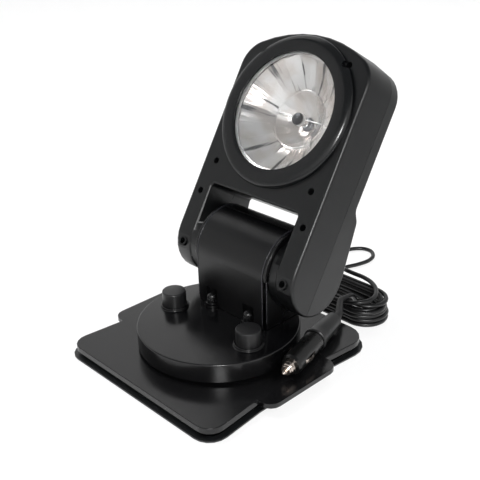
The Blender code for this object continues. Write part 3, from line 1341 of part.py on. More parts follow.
def plug_nut(carrier):
    """Tapered metal ring screwed into the barrel's nose, which keeps the pin and the fuse in."""
    start = NUT_START
    end = start + NUT_LENGTH
    bore = PIN_RADIUS + SEAT
    profile = [(bore, start), (NUT_RADIUS * 0.72, start), (NUT_RADIUS, start + NUT_LENGTH * 0.35),
               (NUT_RADIUS, end), (NUT_SLEEVE_RADIUS, end),
               (NUT_SLEEVE_RADIUS, end + SEAT + NUT_SLEEVE_LENGTH),
               (bore, end + SEAT + NUT_SLEEVE_LENGTH)]
    return finished("plug_nut", turned("nut", profile[::-1], "Y", (0.0, 0.0, 0.0), 20),
                    BRIGHT_NICKEL, carrier)


def plug_pin(carrier):
    """Sprung centre contact that slides into the plug."""
    slide = pivot("plug_pin_axis", (0.0, 0.0, 0.0), parent=carrier)
    profile = [(0.0, 0.0)]
    profile += [(r, PIN_RADIUS - h) for r, h in arc((0.0, 0.0), PIN_RADIUS, 70.0, 0.0, 3)]
    profile += [(PIN_RADIUS, PIN_LENGTH), (0.0, PIN_LENGTH)]
    return finished("plug_pin", turned("pin", profile[::-1], "Y", (0.0, 0.0, 0.0), 14),
                    BRIGHT_NICKEL, slide)


def plug_fuse(carrier):
    """Glass fuse between the pin and the grip."""
    start = NUT_START + NUT_LENGTH + SEAT + NUT_SLEEVE_LENGTH + SEAT
    fuse = rod("fuse", FUSE_RADIUS, start, start + FUSE_LENGTH, "Y", steps=14)
    return finished("plug_fuse", fuse, CLEAR_GLASS, carrier)


def plug_contact(side, name, carrier):
    """Bowed spring contact in one side of the barrel."""
    slide = pivot(f"{name}_axis", (0.0, 0.0, 0.0), parent=carrier)
    inner = PLUG_BORE_RADIUS + SEAT + CONTACT_TRAVEL
    start = CONTACT_START + SEAT
    length = CONTACT_LENGTH - 2 * SEAT
    top = PLUG_RADIUS + CONTACT_RISE - inner
    outer_line = []
    inner_line = []
    steps = 8
    for step in range(steps + 1):
        share = step / steps
        rise = math.sin(math.pi * share) ** 0.6
        y = start + length * share
        outer_line.append((inner + CONTACT_THICKNESS + (top - CONTACT_THICKNESS) * rise, y))
        inner_line.append((inner + (top - CONTACT_THICKNESS) * rise, y))
    outline = [(side * x, y) for x, y in outer_line + inner_line[::-1]]
    strip = prism("strip", [outline], -CONTACT_WIDTH / 2, CONTACT_WIDTH / 2)
    return finished(name, strip, BRIGHT_NICKEL, slide)


def plug_grip(carrier):
    """Rear grip: a collar, then a body that narrows toward the cord."""
    start = BARREL_END
    collar = start + 0.0032
    profile = [(0.0, start), (GRIP_RADIUS - 0.0008, start), (GRIP_RADIUS, start + 0.0008),
               (GRIP_RADIUS, collar), (GRIP_RADIUS - 0.0012, collar + 0.0006)]
    steps = 5
    length = GRIP_END - collar - 0.0006
    for step in range(1, steps + 1):
        share = step / steps
        radius = GRIP_RADIUS - 0.0012 - (GRIP_RADIUS - 0.0012 - GRIP_END_RADIUS) * share ** 1.6
        profile.append((radius, collar + 0.0006 + length * share))
    profile.append((0.0, GRIP_END))
    grip = turned("grip", profile[::-1], "Y", (0.0, 0.0, 0.0), 24)
    return finished("plug_grip", grip, BLACK_ABS, carrier)


def plug_relief():
    """Tapered strain relief that bends from the plug toward the hank."""
    heading = Matrix.Rotation(PLUG_HEADING, 4, "Z") @ Matrix.Rotation(PLUG_SLOPE, 4, "X")
    origin = Vector((*PLUG_TIP, BASE_TOP + PLUG_AXIS_HEIGHT))
    start = origin + heading @ Vector((0.0, GRIP_END + SEAT, 0.0))
    lead = origin + heading @ Vector((0.0, GRIP_END + SEAT + 0.005, 0.0))
    bend = origin + heading @ Vector((0.0, GRIP_END + SEAT + 0.012, 0.0))
    tail = Vector(TAIL_ROUTE[0])
    onward = (Vector(TAIL_ROUTE[1]) - tail).normalized()
    run_in = tail - onward * 0.012
    settle = tail - onward * 0.005
    stop = tail - onward * SEAT
    route = smooth_route([start, lead, bend, run_in, settle, stop], 0.0045)
    last = len(route) - 1
    radii = [TAIL_RELIEF_RADIUS + (RELIEF_END_RADIUS - TAIL_RELIEF_RADIUS) * index / last
             for index in range(last + 1)]
    return finished("plug_relief", wire("relief", route, TAIL_RELIEF_RADIUS, radii=radii,
                                        resolution=3), BLACK_RUBBER)


def build_base():
    """Everything that stays still on the floor, under the turntable."""
    base_pad()
    base_tray()
    base_cover()
    base_magnet()
    base_screws()
    pan_gear()
    pan_bearing()


def build_turntable():
    """The turntable with the neck, its drives and the receiver."""
    carrier = pivot("pan_axis", (0.0, 0.0, 0.0))
    drum_cover(carrier)
    drum_floor(carrier)
    head_rest(-1, "head_rest_left", carrier)
    head_rest(1, "head_rest_right", carrier)
    pan_motor(carrier)
    pan_pinion(carrier)
    receiver_board(carrier)
    neck_front_cover(carrier)
    neck_rear_cover(carrier)
    neck_cheek(-1, "neck_cheek_left", carrier)
    neck_cheek(1, "neck_cheek_right", carrier)
    tilt_bush(-1, "tilt_bush_left", carrier)
    tilt_bush(1, "tilt_bush_right", carrier)
    tilt_motor(carrier)
    tilt_pinion(carrier)
    neck_screws(carrier)
    return carrier


def build_head(carrier):
    """The lamp head, leaning back on its tilt axle."""
    tilt = pivot("tilt_axis", (0.0, TILT_Y, TILT_Z), (-LEAN_BACK, 0.0, 0.0), carrier)
    body = head_body()
    rear = body.copy()
    rear.data = body.data.copy()
    head_front_shell(body, tilt)
    head_rear_shell(rear, tilt)
    bezel_ring(tilt)
    lens_glass(tilt)
    lens_gasket(tilt)
    reflector(tilt)
    bulb_base(tilt)
    bulb_glass(tilt)
    bulb_shield(tilt)
    head_screws(tilt)
    tilt_axle(tilt)
    y, z = tilt_pinion_place()
    toward_pinion = math.degrees(math.atan2(z - TILT_Z, y - TILT_Y) + LEAN_BACK)
    tilt_gear(tilt, toward_pinion)


def build_cord_and_plug():
    """The cord on the floor and its plug on the base."""
    cord_gland()
    power_cord()
    power_cord_coil()
    power_cord_tail()
    carrier = plug_carrier()
    plug_barrel(carrier)
    plug_nut(carrier)
    plug_pin(carrier)
    plug_fuse(carrier)
    plug_contact(-1, "plug_contact_left", carrier)
    plug_contact(1, "plug_contact_right", carrier)
    plug_grip(carrier)
    plug_relief()


build_base()
build_head(build_turntable())
build_cord_and_plug()
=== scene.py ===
import math

import bpy
from mathutils import Matrix, Vector


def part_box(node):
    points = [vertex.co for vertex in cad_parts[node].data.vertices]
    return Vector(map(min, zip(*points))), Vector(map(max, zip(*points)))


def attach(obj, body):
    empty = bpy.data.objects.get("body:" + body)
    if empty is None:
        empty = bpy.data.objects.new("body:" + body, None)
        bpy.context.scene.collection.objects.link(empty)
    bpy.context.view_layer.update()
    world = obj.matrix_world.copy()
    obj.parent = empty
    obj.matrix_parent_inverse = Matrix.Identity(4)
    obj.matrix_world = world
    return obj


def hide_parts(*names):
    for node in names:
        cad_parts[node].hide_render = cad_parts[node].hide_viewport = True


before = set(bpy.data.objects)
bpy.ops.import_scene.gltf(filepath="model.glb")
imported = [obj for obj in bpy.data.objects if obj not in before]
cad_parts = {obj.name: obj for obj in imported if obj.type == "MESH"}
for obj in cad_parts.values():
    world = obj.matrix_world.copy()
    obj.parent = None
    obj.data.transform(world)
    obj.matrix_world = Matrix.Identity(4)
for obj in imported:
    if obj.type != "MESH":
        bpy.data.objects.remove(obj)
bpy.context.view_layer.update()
scene = bpy.context.scene
scene.view_settings.view_transform = "Standard"


# The photographer's table: a white floor and a low white wall round it, both of painted board,
# open above, so that black plastic mirrors a bright floor and a dim ceiling. Both also glow: the
# camera sees them plain white, and a mirror sees a painted reflection, paler or darker by place.
def linear(code):
    """A hex sRGB colour as linear numbers with full cover."""
    parts = [int(code[index:index + 2], 16) / 255 for index in (1, 3, 5)]
    shades = [c / 12.92 if c <= 0.04045 else ((c + 0.055) / 1.055) ** 2.4 for c in parts]
    return (*shades, 1.0)


def add_node(tree, kind, inputs=None, **settings):
    """Adds a node with its settings, and sets or links its inputs, by name or by number.
    A map range's 1 to 4 are from low, from high, to low and to high; a colour mix's 0, 6
    and 7 are the share, the colour without it and the colour with it."""
    node = tree.nodes.new(kind)
    for key, value in settings.items():
        setattr(node, key, value)
    for key, value in (inputs or {}).items():
        if isinstance(value, bpy.types.NodeSocket):
            tree.links.new(value, node.inputs[key])
        else:
            node.inputs[key].default_value = value
    return node


def new_material(name):
    """An empty material, its node tree and the object's own coordinates."""
    material = bpy.data.materials.new(name)
    material.use_nodes = True
    material.node_tree.nodes.clear()
    place = add_node(material.node_tree, "ShaderNodeTexCoord")
    return material, material.node_tree, place.outputs["Object"]


def surfaced(material, tree, shader):
    """The material, with a shader as its surface."""
    add_node(tree, "ShaderNodeOutputMaterial", {"Surface": shader.outputs[0]})
    return material


def select_only(piece):
    """Leaves one object selected and active."""
    bpy.ops.object.select_all(action="DESELECT")
    piece.select_set(True)
    bpy.context.view_layer.objects.active = piece


def reflection_glow_board(name, share, glow_tone_stops, use_angle):
    """Matt white paint that glows: plain white to the camera, painted reflection tones to a mirror.
    """
    material, tree, place = new_material(name)
    paint = add_node(tree, "ShaderNodeBsdfDiffuse", {"Color": linear("#f2f2f2")})
    ray = add_node(tree, "ShaderNodeLightPath")
    apart = add_node(tree, "ShaderNodeSeparateXYZ", {0: place})
    if use_angle:
        angle = add_node(tree, "ShaderNodeMath", {
            0: apart.outputs[1], 1: apart.outputs[0]}, operation="ARCTAN2")
        reach = add_node(tree, "ShaderNodeMapRange", {
            "Value": angle.outputs[0], 1: -math.pi, 2: math.pi, 3: 0.0, 4: 1.0})
    else:
        away = add_node(tree, "ShaderNodeVectorMath", {0: place}, operation="LENGTH")
        reach = add_node(tree, "ShaderNodeMapRange", {
            "Value": away.outputs["Value"], 1: 0.0, 2: 2.0, 3: 0.0, 4: 1.0})
    # The ramp holds the painted reflection tones, by distance or by angle round the table.
    tone = add_node(tree, "ShaderNodeValToRGB", {"Fac": reach.outputs[0]})
    while len(tone.color_ramp.elements) < len(glow_tone_stops):
        tone.color_ramp.elements.new(0.5)
    for element, (where, level) in zip(tone.color_ramp.elements, glow_tone_stops):
        element.position = where
        element.color = (level, level, level, 1.0)
    colour = add_node(tree, "ShaderNodeMix", {
        0: ray.outputs["Is Camera Ray"], 6: tone.outputs[0],
        7: linear("#ffffff")}, data_type="RGBA")
    # The glow: plain white for the camera, the painted reflection tones for mirrors and glass.
    white = add_node(tree, "ShaderNodeEmission", {"Color": colour.outputs[2], "Strength": 1.0})
    either = add_node(tree, "ShaderNodeMath", {
        0: ray.outputs["Is Camera Ray"], 1: ray.outputs["Is Glossy Ray"]}, operation="MAXIMUM")
    any_of = add_node(tree, "ShaderNodeMath", {
        0: either.outputs[0], 1: ray.outputs["Is Transmission Ray"]}, operation="MAXIMUM")
    part = add_node(tree, "ShaderNodeMath", {0: any_of.outputs[0], 1: share}, operation="MULTIPLY")
    mixed = add_node(tree, "ShaderNodeMixShader", {
        0: part.outputs[0], 1: paint.outputs[0], 2: white.outputs[0]})
    return surfaced(material, tree, mixed)


bpy.ops.mesh.primitive_plane_add(size=9.0, location=(0.0, 0.0, -0.0004))
table = bpy.context.object
table.name = "table"
# Painted reflection tones of the floor for mirrors: bright near the lamp, dimmer further out.
table_glow_tones = [(0.0, 1.0), (0.12, 1.0), (0.25, 0.50), (0.5, 0.42), (1.0, 0.42)]
table.data.materials.append(reflection_glow_board("white_table_painted_reflection_glow", 0.80, table_glow_tones, False))

bpy.ops.mesh.primitive_cylinder_add(vertices=96, radius=2.7, depth=2.4, end_fill_type="NOTHING",
                                    location=(0.0, 0.0, 1.2))
wall = bpy.context.object
wall.name = "wall"
# Painted reflection tones of the wall for mirrors, paler or darker by angle round the lamp.
wall_glow_tones = [(0.0, 0.62), (0.12, 0.50), (0.20, 0.60), (0.28, 1.0), (0.40, 1.0), (0.52, 0.95),
              (0.62, 0.45), (0.78, 0.60), (0.878, 0.92), (1.0, 0.62)]
wall.data.materials.append(reflection_glow_board("white_wall_painted_reflection_glow", 0.92, wall_glow_tones, True))

# Room: a dim, slightly cool ceiling over the wall, which fills the shadows.
room = bpy.data.worlds.new("room")
scene.world = room
room.use_nodes = True
room.node_tree.nodes.clear()
ceiling = add_node(room.node_tree, "ShaderNodeBackground", {
    "Color": linear("#c9ccd0"), "Strength": 0.30})
add_node(room.node_tree, "ShaderNodeOutputWorld", {"Surface": ceiling.outputs[0]})


# Soft boxes: three broad lamps behind cloth that light the piece without a mirror image, and
# a small one beside the camera that draws the bright lines along rounded edges.
def soft_box(name, place, aim, width, height, power, mirrored):
    """A studio lamp behind a square cloth, which black plastic mirrors or not."""
    lamp = bpy.data.lights.new(name, "AREA")
    lamp.shape = "RECTANGLE"
    lamp.size = width
    lamp.size_y = height
    lamp.energy = power
    holder = bpy.data.objects.new(name, lamp)
    scene.collection.objects.link(holder)
    holder.location = place
    holder.rotation_euler = (Vector(aim) - Vector(place)).to_track_quat("-Z", "Y").to_euler()
    holder.visible_glossy = mirrored


soft_box("soft_box_left", (-1.35, -0.35, 1.75), (0.0, 0.0, 0.12), 1.1, 0.9, 38.0, False)
soft_box("soft_box_right", (1.45, 0.55, 1.35), (0.0, 0.0, 0.12), 0.7, 0.9, 15.0, False)
soft_box("soft_box_rear", (-0.4, 1.7, 1.55), (0.0, 0.0, 0.15), 1.2, 0.6, 18.0, False)
soft_box("soft_box_camera", (1.22, -1.10, 0.98), (0.0, 0.0, 0.15), 0.36, 0.36, 20.0, True)


# Left board: a white painted board high on the left, turned to the lamp head, which glows as a
# painted reflection that the neck's barrel and the drum's top mirror as a soft pale patch.
bpy.ops.mesh.primitive_plane_add(size=1.0)
board = bpy.context.object
board.name = "left_board"
board_place = Vector((-1.75, 0.50, 2.05))
board_width, board_height = 1.7, 1.3
facing = (Vector((0.0, 0.0, 0.25)) - board_place).to_track_quat("Z", "Y")
board.data.transform(Matrix.Translation(board_place) @ facing.to_matrix().to_4x4()
                     @ Matrix.Diagonal((board_width, board_height, 1.0, 1.0)))
board.data.materials.append(reflection_glow_board("white_left_board_painted_reflection_glow", 0.92,
                                          [(0.0, 0.95), (1.0, 0.95)], False))


# Camera: it stands right of the lamp's front, a little above it, as in the photograph. Its
# place and turn were fitted to the photograph's edges.
camera_data = bpy.data.cameras.new("camera")
camera_data.sensor_width = 36.0
camera_data.lens = 60.51
camera_data.clip_start = 0.01
camera_data.clip_end = 30.0
camera = bpy.data.objects.new("camera", camera_data)
scene.collection.objects.link(camera)
scene.camera = camera
to_right = Vector((0.6951, 0.7184, -0.0250)).normalized()
to_front = Vector((-0.6586, 0.6225, -0.4228)).normalized()
to_top = to_right.cross(to_front).normalized()
to_right = to_front.cross(to_top)
turn = Matrix((to_right, to_top, -to_front)).transposed()
camera.matrix_world = Matrix.Translation((0.5209, -0.4602, 0.4452)) @ turn.to_4x4()


# Base pad: a sheet of dark grey nitrile rubber, cut to the base's plan, glued under the
# magnet so that it doesn't scratch a car's roof. It shows as a thin lip all round.
def cad_copy(name, node, body, crease=50.0, bores=()):
    """A finer copy of a CAD solid: merged, with its flats joined and its round parts smooth.
    The walls of narrow bores stay flat: (a point on the bore's axis, its direction, radius)."""
    piece = bpy.data.objects.new(name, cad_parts[node].data.copy())
    piece.data.materials.clear()
    scene.collection.objects.link(piece)
    select_only(piece)
    bpy.ops.object.mode_set(mode="EDIT")
    bpy.ops.mesh.select_all(action="SELECT")
    bpy.ops.mesh.remove_doubles(threshold=0.000002)
    bpy.ops.mesh.dissolve_limited(angle_limit=math.radians(0.4))
    bpy.ops.object.mode_set(mode="OBJECT")
    bpy.ops.object.shade_smooth_by_angle(angle=math.radians(crease))
    for point, direction, radius in bores:
        for face in piece.data.polygons:
            if (face.center - point).cross(direction).length < radius:
                face.use_smooth = False
    # The normals follow the broad faces, so that the flats stay flat beside a round edge.
    even = piece.modifiers.new("even", "WEIGHTED_NORMAL")
    even.keep_sharp = True
    even.weight = 80
    bpy.ops.object.modifier_apply(modifier=even.name)
    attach(piece, body)
    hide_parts(node)
    return piece


def soft_edges(piece, width, segments=3, limit=40.0, crease=32.0):
    """Rounds a piece's sharp edges and applies it."""
    select_only(piece)
    edge = piece.modifiers.new("edge", "BEVEL")
    edge.width = width
    edge.segments = segments
    edge.limit_method = "ANGLE"
    edge.angle_limit = math.radians(limit)
    bpy.ops.object.modifier_apply(modifier=edge.name)
    bpy.ops.object.shade_smooth_by_angle(angle=math.radians(crease))


def finish_with(piece, material):
    """Gives a piece its material."""
    piece.data.materials.clear()
    piece.data.materials.append(material)


def soft_rubber(name, colour, roughness, grain):
    """Moulded rubber: matt, with a fine even grain that catches a soft sheen on edges."""
    material, tree, place = new_material(name)
    # The grain, in millimetres, is drawn coarser than the real one so that it shows.
    noise = add_node(tree, "ShaderNodeTexNoise", {
        "Vector": place, "Scale": 1000.0 / grain, "Detail": 3.0})
    wear = add_node(tree, "ShaderNodeTexNoise", {"Vector": place, "Scale": 60.0, "Detail": 4.0})
    gloss = add_node(tree, "ShaderNodeMapRange", {
        "Value": wear.outputs[0], 1: 0.3, 2: 0.7, 3: roughness - 0.06, 4: roughness + 0.08})
    bump = add_node(tree, "ShaderNodeBump", {
        "Height": noise.outputs[0], "Strength": 0.25, "Distance": 0.00006})
    skin = add_node(tree, "ShaderNodeBsdfPrincipled", {
        "Base Color": linear(colour), "IOR": 1.52, "Roughness": gloss.outputs[0],
        "Normal": bump.outputs[0]})
    return surfaced(material, tree, skin)


pad = cad_copy("rubber_pad", "base_pad", "base")
soft_edges(pad, 0.0007, 3, 50.0, 50.0)
pad_rubber = soft_rubber("moulded_nitrile_rubber_grey", "#161718", 0.34, 0.7)
finish_with(pad, pad_rubber)


# Base tray: pressed steel. It closes the base from below and carries the magnet; only its
# edge shows, in the groove over the pad, where its near-black metal, which mirrors almost
# nothing, is painted shade.
def plated_metal(name, colour, roughness, streak, bump_height):
    """Plated metal: bright, with faint streaks from rolling or turning."""
    material, tree, place = new_material(name)
    spread = add_node(tree, "ShaderNodeMapping", {"Vector": place, "Scale": (1.0, 0.12, 1.0)})
    # Streaks are a fraction of a millimetre apart.
    noise = add_node(tree, "ShaderNodeTexNoise", {
        "Vector": spread.outputs[0], "Scale": 1000.0 / streak, "Detail": 4.0})
    gloss = add_node(tree, "ShaderNodeMapRange", {
        "Value": noise.outputs[0], 1: 0.3, 2: 0.7, 3: roughness - 0.05, 4: roughness + 0.07})
    bump = add_node(tree, "ShaderNodeBump", {
        "Height": noise.outputs[0], "Strength": 0.3, "Distance": bump_height})
    skin = add_node(tree, "ShaderNodeBsdfPrincipled", {
        "Base Color": linear(colour), "Metallic": 1.0, "Roughness": gloss.outputs[0],
        "Normal": bump.outputs[0]})
    return surfaced(material, tree, skin)


zinc_plate = plated_metal("zinc_plated_steel", "#b4b7bb", 0.36, 0.6, 0.00002)
# Near-black metal that mirrors almost nothing: painted shade in the base's groove and in the head's
# screw holes.
shade_black_steel = plated_metal("black_steel_for_painted_shade", "#060607", 0.55, 0.8, 0.00002)
tray = cad_copy("steel_tray", "base_tray", "base")
finish_with(tray, shade_black_steel)


# Base magnet: a pressed ferrite ring, ground flat on both faces. It looks like charcoal
# slate with a fine speckle of crystals.
def pressed_ferrite():
    """Ground ferrite: dark grey, half matt, with a speckle about a millimetre across."""
    material, tree, place = new_material("ground_pressed_ferrite")
    speckle = add_node(tree, "ShaderNodeTexVoronoi", {"Vector": place, "Scale": 900.0})
    tone = add_node(tree, "ShaderNodeValToRGB", {"Fac": speckle.outputs["Color"]})
    tone.color_ramp.elements[0].color = linear("#2c2d30")
    tone.color_ramp.elements[1].color = linear("#424447")
    bump = add_node(tree, "ShaderNodeBump", {
        "Height": speckle.outputs["Distance"], "Strength": 0.3, "Distance": 0.00005})
    skin = add_node(tree, "ShaderNodeBsdfPrincipled", {
        "Base Color": tone.outputs[0], "Metallic": 0.35, "Roughness": 0.5,
        "Normal": bump.outputs[0]})
    return surfaced(material, tree, skin)


magnet = cad_copy("ring_magnet", "base_magnet", "base")
soft_edges(magnet, 0.0004, 2)
finish_with(magnet, pressed_ferrite())


# Base screws: pan-head steel screws with a zinc plate, driven up through the tray into
# the cover's bosses. Each head has a cross recess.
def cross_recess(piece, tip, outward, size):
    """Cuts a cross-shaped recess into a screw's head."""
    outward = Vector(outward).normalized()
    for quarter in (0, 1):
        bpy.ops.mesh.primitive_cube_add(size=1.0)
        blade = bpy.context.object
        turned = outward.to_track_quat("Z", "Y").to_matrix().to_4x4()
        turned = turned @ Matrix.Rotation(math.radians(90 * quarter), 4, "Z")
        scale = Matrix.Diagonal((size, size * 0.24, size * 0.7, 1.0))
        blade.data.transform(Matrix.Translation(tip) @ turned @ scale)
        select_only(piece)
        slot_cut = piece.modifiers.new("recess", "BOOLEAN")
        slot_cut.object = blade
        slot_cut.solver = "EXACT"
        bpy.ops.object.modifier_apply(modifier=slot_cut.name)
        bpy.data.objects.remove(blade)


for corner in ("front_left", "rear_left", "front_right", "rear_right"):
    low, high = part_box(f"base_screw_{corner}")
    screw = cad_copy(f"tray_screw_{corner}", f"base_screw_{corner}", "base")
    tip = ((low.x + high.x) / 2, (low.y + high.y) / 2, low.z)
    cross_recess(screw, tip, (0.0, 0.0, -1.0), 0.0034)
    finish_with(screw, zinc_plate)


# Base cover: injection-moulded black ABS, a shallow tray upside down with a finger tab on
# each side. Its top is half glossy, so that the turntable mirrors in it softly.
def moulded_abs(name, colour, roughness, grain, relief, mottle=0.05):
    """Moulded ABS: near black and satin, from a spark-eroded mould, with gloss that varies."""
    material, tree, place = new_material(name)
    # The mould's grain, in millimetres, is drawn coarser than the real one so that it shows.
    noise = add_node(tree, "ShaderNodeTexNoise", {
        "Vector": place, "Scale": 1000.0 / grain, "Detail": 2.0})
    flow = add_node(tree, "ShaderNodeTexNoise", {
        "Vector": place, "Scale": 34.0, "Detail": 5.0, "Roughness": 0.6})
    gloss = add_node(tree, "ShaderNodeMapRange", {
        "Value": flow.outputs[0], 1: 0.3, 2: 0.7, 3: roughness - mottle, 4: roughness + mottle})
    bump = add_node(tree, "ShaderNodeBump", {
        "Height": noise.outputs[0], "Strength": 0.1, "Distance": relief})
    skin = add_node(tree, "ShaderNodeBsdfPrincipled", {
        "Base Color": linear(colour), "IOR": 1.5, "Roughness": gloss.outputs[0],
        "Normal": bump.outputs[0]})
    return surfaced(material, tree, skin)


plate_abs = moulded_abs("moulded_abs_half_gloss", "#0b0b0c", 0.20, 0.6, 0.000006)
satin_abs = moulded_abs("moulded_abs_satin", "#080809", 0.30, 0.6, 0.00001)
cover = cad_copy("base_plate", "base_cover", "base")
finish_with(cover, plate_abs)


# Cord gland: a black rubber cone pushed into the base's rear edge, which keeps the cord
# from being bent sharply where it comes out.
black_rubber = soft_rubber("moulded_black_rubber", "#0e0e0f", 0.5, 0.8)
gland = cad_copy("rubber_gland", "cord_gland", "base")
soft_edges(gland, 0.0003, 2)
finish_with(gland, black_rubber)


# Fixed gear and bearing ring: natural nylon, moulded, with a waxy off-white look. The gear
# is screwed to the base's middle and the ring carries the turntable's weight.
def moulded_nylon():
    """Natural nylon: warm white, half matt, slightly cloudy."""
    material, tree, place = new_material("moulded_natural_nylon")
    cloud = add_node(tree, "ShaderNodeTexNoise", {"Vector": place, "Scale": 90.0, "Detail": 4.0})
    tone = add_node(tree, "ShaderNodeValToRGB", {"Fac": cloud.outputs[0]})
    tone.color_ramp.elements[0].color = linear("#d9d6cb")
    tone.color_ramp.elements[1].color = linear("#efede6")
    skin = add_node(tree, "ShaderNodeBsdfPrincipled", {
        "Base Color": tone.outputs[0], "IOR": 1.53, "Roughness": 0.42, "Subsurface Weight": 0.15,
        "Subsurface Scale": 0.002})
    return surfaced(material, tree, skin)


nylon = moulded_nylon()
for name, node in (("fixed_gear", "pan_gear"), ("bearing_ring", "pan_bearing")):
    finish_with(cad_copy(name, node, "base"), nylon)


# Turntable cover: a round cap of the same black ABS, spun about the pan axis in one smooth
# sweep, with a soft rim and a raised collar round each of the head's rests.
def spin_profile(name, profile, steps, centre=(0.0, 0.0, 0.0), axis="Z", crease=32.0):
    """Spins a chain of (radius, height) points about an axis into a smooth skin."""
    mesh = bpy.data.meshes.new(name)
    links = [(index, index + 1) for index in range(len(profile) - 1)]
    mesh.from_pydata([(radius, 0.0, height) for radius, height in profile], links, [])
    piece = bpy.data.objects.new(name, mesh)
    scene.collection.objects.link(piece)
    select_only(piece)
    bpy.ops.object.mode_set(mode="EDIT")
    bpy.ops.mesh.select_all(action="SELECT")
    bpy.ops.mesh.spin(steps=steps, angle=math.tau, center=(0.0, 0.0, 0.0), axis=(0.0, 0.0, 1.0))
    bpy.ops.mesh.select_all(action="SELECT")
    bpy.ops.mesh.remove_doubles(threshold=0.000005)
    bpy.ops.mesh.normals_make_consistent(inside=False)
    bpy.ops.object.mode_set(mode="OBJECT")
    lay = {"Z": Matrix.Identity(4), "Y": Matrix.Rotation(math.radians(90), 4, "X"),
           "back": Matrix.Rotation(math.radians(-90), 4, "X")}[axis]
    mesh.transform(Matrix.Translation(centre) @ lay)
    bpy.ops.object.shade_smooth_by_angle(angle=math.radians(crease))
    return piece


def quarter_round(centre_radius, centre_height, radius, start, end, steps):
    """Points of an arc in a profile, with its angles in degrees."""
    points = []
    for step in range(steps + 1):
        angle = math.radians(start + (end - start) * step / steps)
        points.append((centre_radius + radius * math.cos(angle),
                       centre_height + radius * math.sin(angle)))
    return points


def join_into(piece, others):
    """Joins other objects into one piece."""
    bpy.ops.object.select_all(action="DESELECT")
    for part in (*others, piece):
        part.select_set(True)
    bpy.context.view_layer.objects.active = piece
    bpy.ops.object.join()


drum_radius, drum_low, drum_high, drum_wall = 0.0812, 0.0154, 0.0346, 0.0025
drum_inside, drum_roof, rim_round = drum_radius - drum_wall, drum_high - drum_wall, 0.0014
drum_profile = [(0.0, drum_high)]
drum_profile += quarter_round(drum_radius - rim_round, drum_high - rim_round, rim_round,
                              90.0, 0.0, 6)
drum_profile += [(drum_radius, drum_low + 0.0003), (drum_radius - 0.0003, drum_low),
                 (drum_inside, drum_low), (drum_inside, drum_roof), (0.0, drum_roof)]
drum = spin_profile("turntable_cap", drum_profile, 200)
rest_x, rest_y = 0.0540, -0.0116
collar_inner, collar_outer = 0.0125, 0.0150
collar_low, collar_high, collar_round = drum_high - 0.001, drum_high + 0.0020, 0.0006
collar_profile = [(collar_inner, collar_low)]
collar_profile += quarter_round(0.0131, collar_high, collar_round, 180.0, 90.0, 3)
collar_profile += quarter_round(0.0136, collar_high, collar_round, 90.0, 0.0, 3)
collar_profile += quarter_round(collar_outer, drum_high + 0.0008, 0.0008, 180.0, 270.0, 3)
collar_profile += [(collar_outer, collar_low), (collar_inner, collar_low)]
collars = [spin_profile("collar", collar_profile, 64, (side * rest_x, rest_y, 0.0))
           for side in (-1, 1)]
join_into(drum, collars)
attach(drum, "turntable")
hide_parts("drum_cover")
drum_abs = moulded_abs("moulded_abs_turntable", "#070708", 0.20, 0.6, 0.000006)
finish_with(drum, drum_abs)


# Turntable floor: a thin ABS plate with posts for the receiver board, snapped into the cap
# from below so that the gear and the cable stay inside.
floor_plate = cad_copy("turntable_floor", "drum_floor", "turntable")
finish_with(floor_plate, satin_abs)


# Head rests: two stout black rubber buttons in the cap's collars, which the folded lamp
# head lies on. Their flat tops shine a little more than their sides.
rest_radius, rest_low, rest_high = 0.0122, 0.0349, 0.0522
rest_profile = [(0.0, rest_high)]
rest_profile += quarter_round(rest_radius - rim_round, rest_high - rim_round, rim_round,
                              90.0, 0.0, 5)
rest_profile += [(rest_radius, rest_low), (0.0, rest_low)]
rest_rubber = soft_rubber("moulded_rest_rubber", "#101011", 0.36, 0.8)
for side, word in ((-1, "left"), (1, "right")):
    rest = spin_profile(f"rest_button_{word}", rest_profile, 72, (side * rest_x, rest_y, 0.0))
    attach(rest, "turntable")
    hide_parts(f"head_rest_{word}")
    finish_with(rest, rest_rubber)


# Pan drive: a zinc-plated gear motor hung through the cap's roof, whose nylon pinion runs
# round the fixed gear.
finish_with(cad_copy("pan_gear_motor", "pan_motor", "turntable"), zinc_plate)
finish_with(cad_copy("pan_drive_pinion", "pan_pinion", "pan_pinion_body"), nylon)


# Receiver board: green glass-epoxy with two relays and a terminal block, on the floor's
# posts. The solder mask is half glossy over a faint weave.
def solder_mask():
    """Green solder mask over woven glass: the threads show as a check of one millimetre."""
    material, tree, place = new_material("solder_mask_on_glass_epoxy")
    weave = add_node(tree, "ShaderNodeTexChecker", {
        "Vector": place, "Scale": 1000.0, "Color1": linear("#15573a"),
        "Color2": linear("#1a6243")})
    skin = add_node(tree, "ShaderNodeBsdfPrincipled", {
        "Base Color": weave.outputs[0], "IOR": 1.5, "Roughness": 0.35})
    return surfaced(material, tree, skin)


receiver = cad_copy("receiver_circuit", "receiver_board", "turntable")
finish_with(receiver, solder_mask())


# Neck covers: two black ABS half shells that meet over the tilt motor, curved as a barrel
# at the top and screwed to the cap through four lugs at the foot.
neck_abs = moulded_abs("moulded_abs_neck", "#040405", 0.34, 0.7, 0.00001, 0.04)
for name, node in (("neck_front", "neck_front_cover"), ("neck_rear", "neck_rear_cover")):
    finish_with(cad_copy(name, node, "turntable"), neck_abs)


# Neck cheeks: flat side plates of the same plastic with rounded edges, beside the covers.
# Each carries a bush of the tilt axle.
for word in ("left", "right"):
    cheek = cad_copy(f"neck_side_{word}", f"neck_cheek_{word}", "turntable")
    soft_edges(cheek, 0.0008, 3)
    finish_with(cheek, satin_abs)


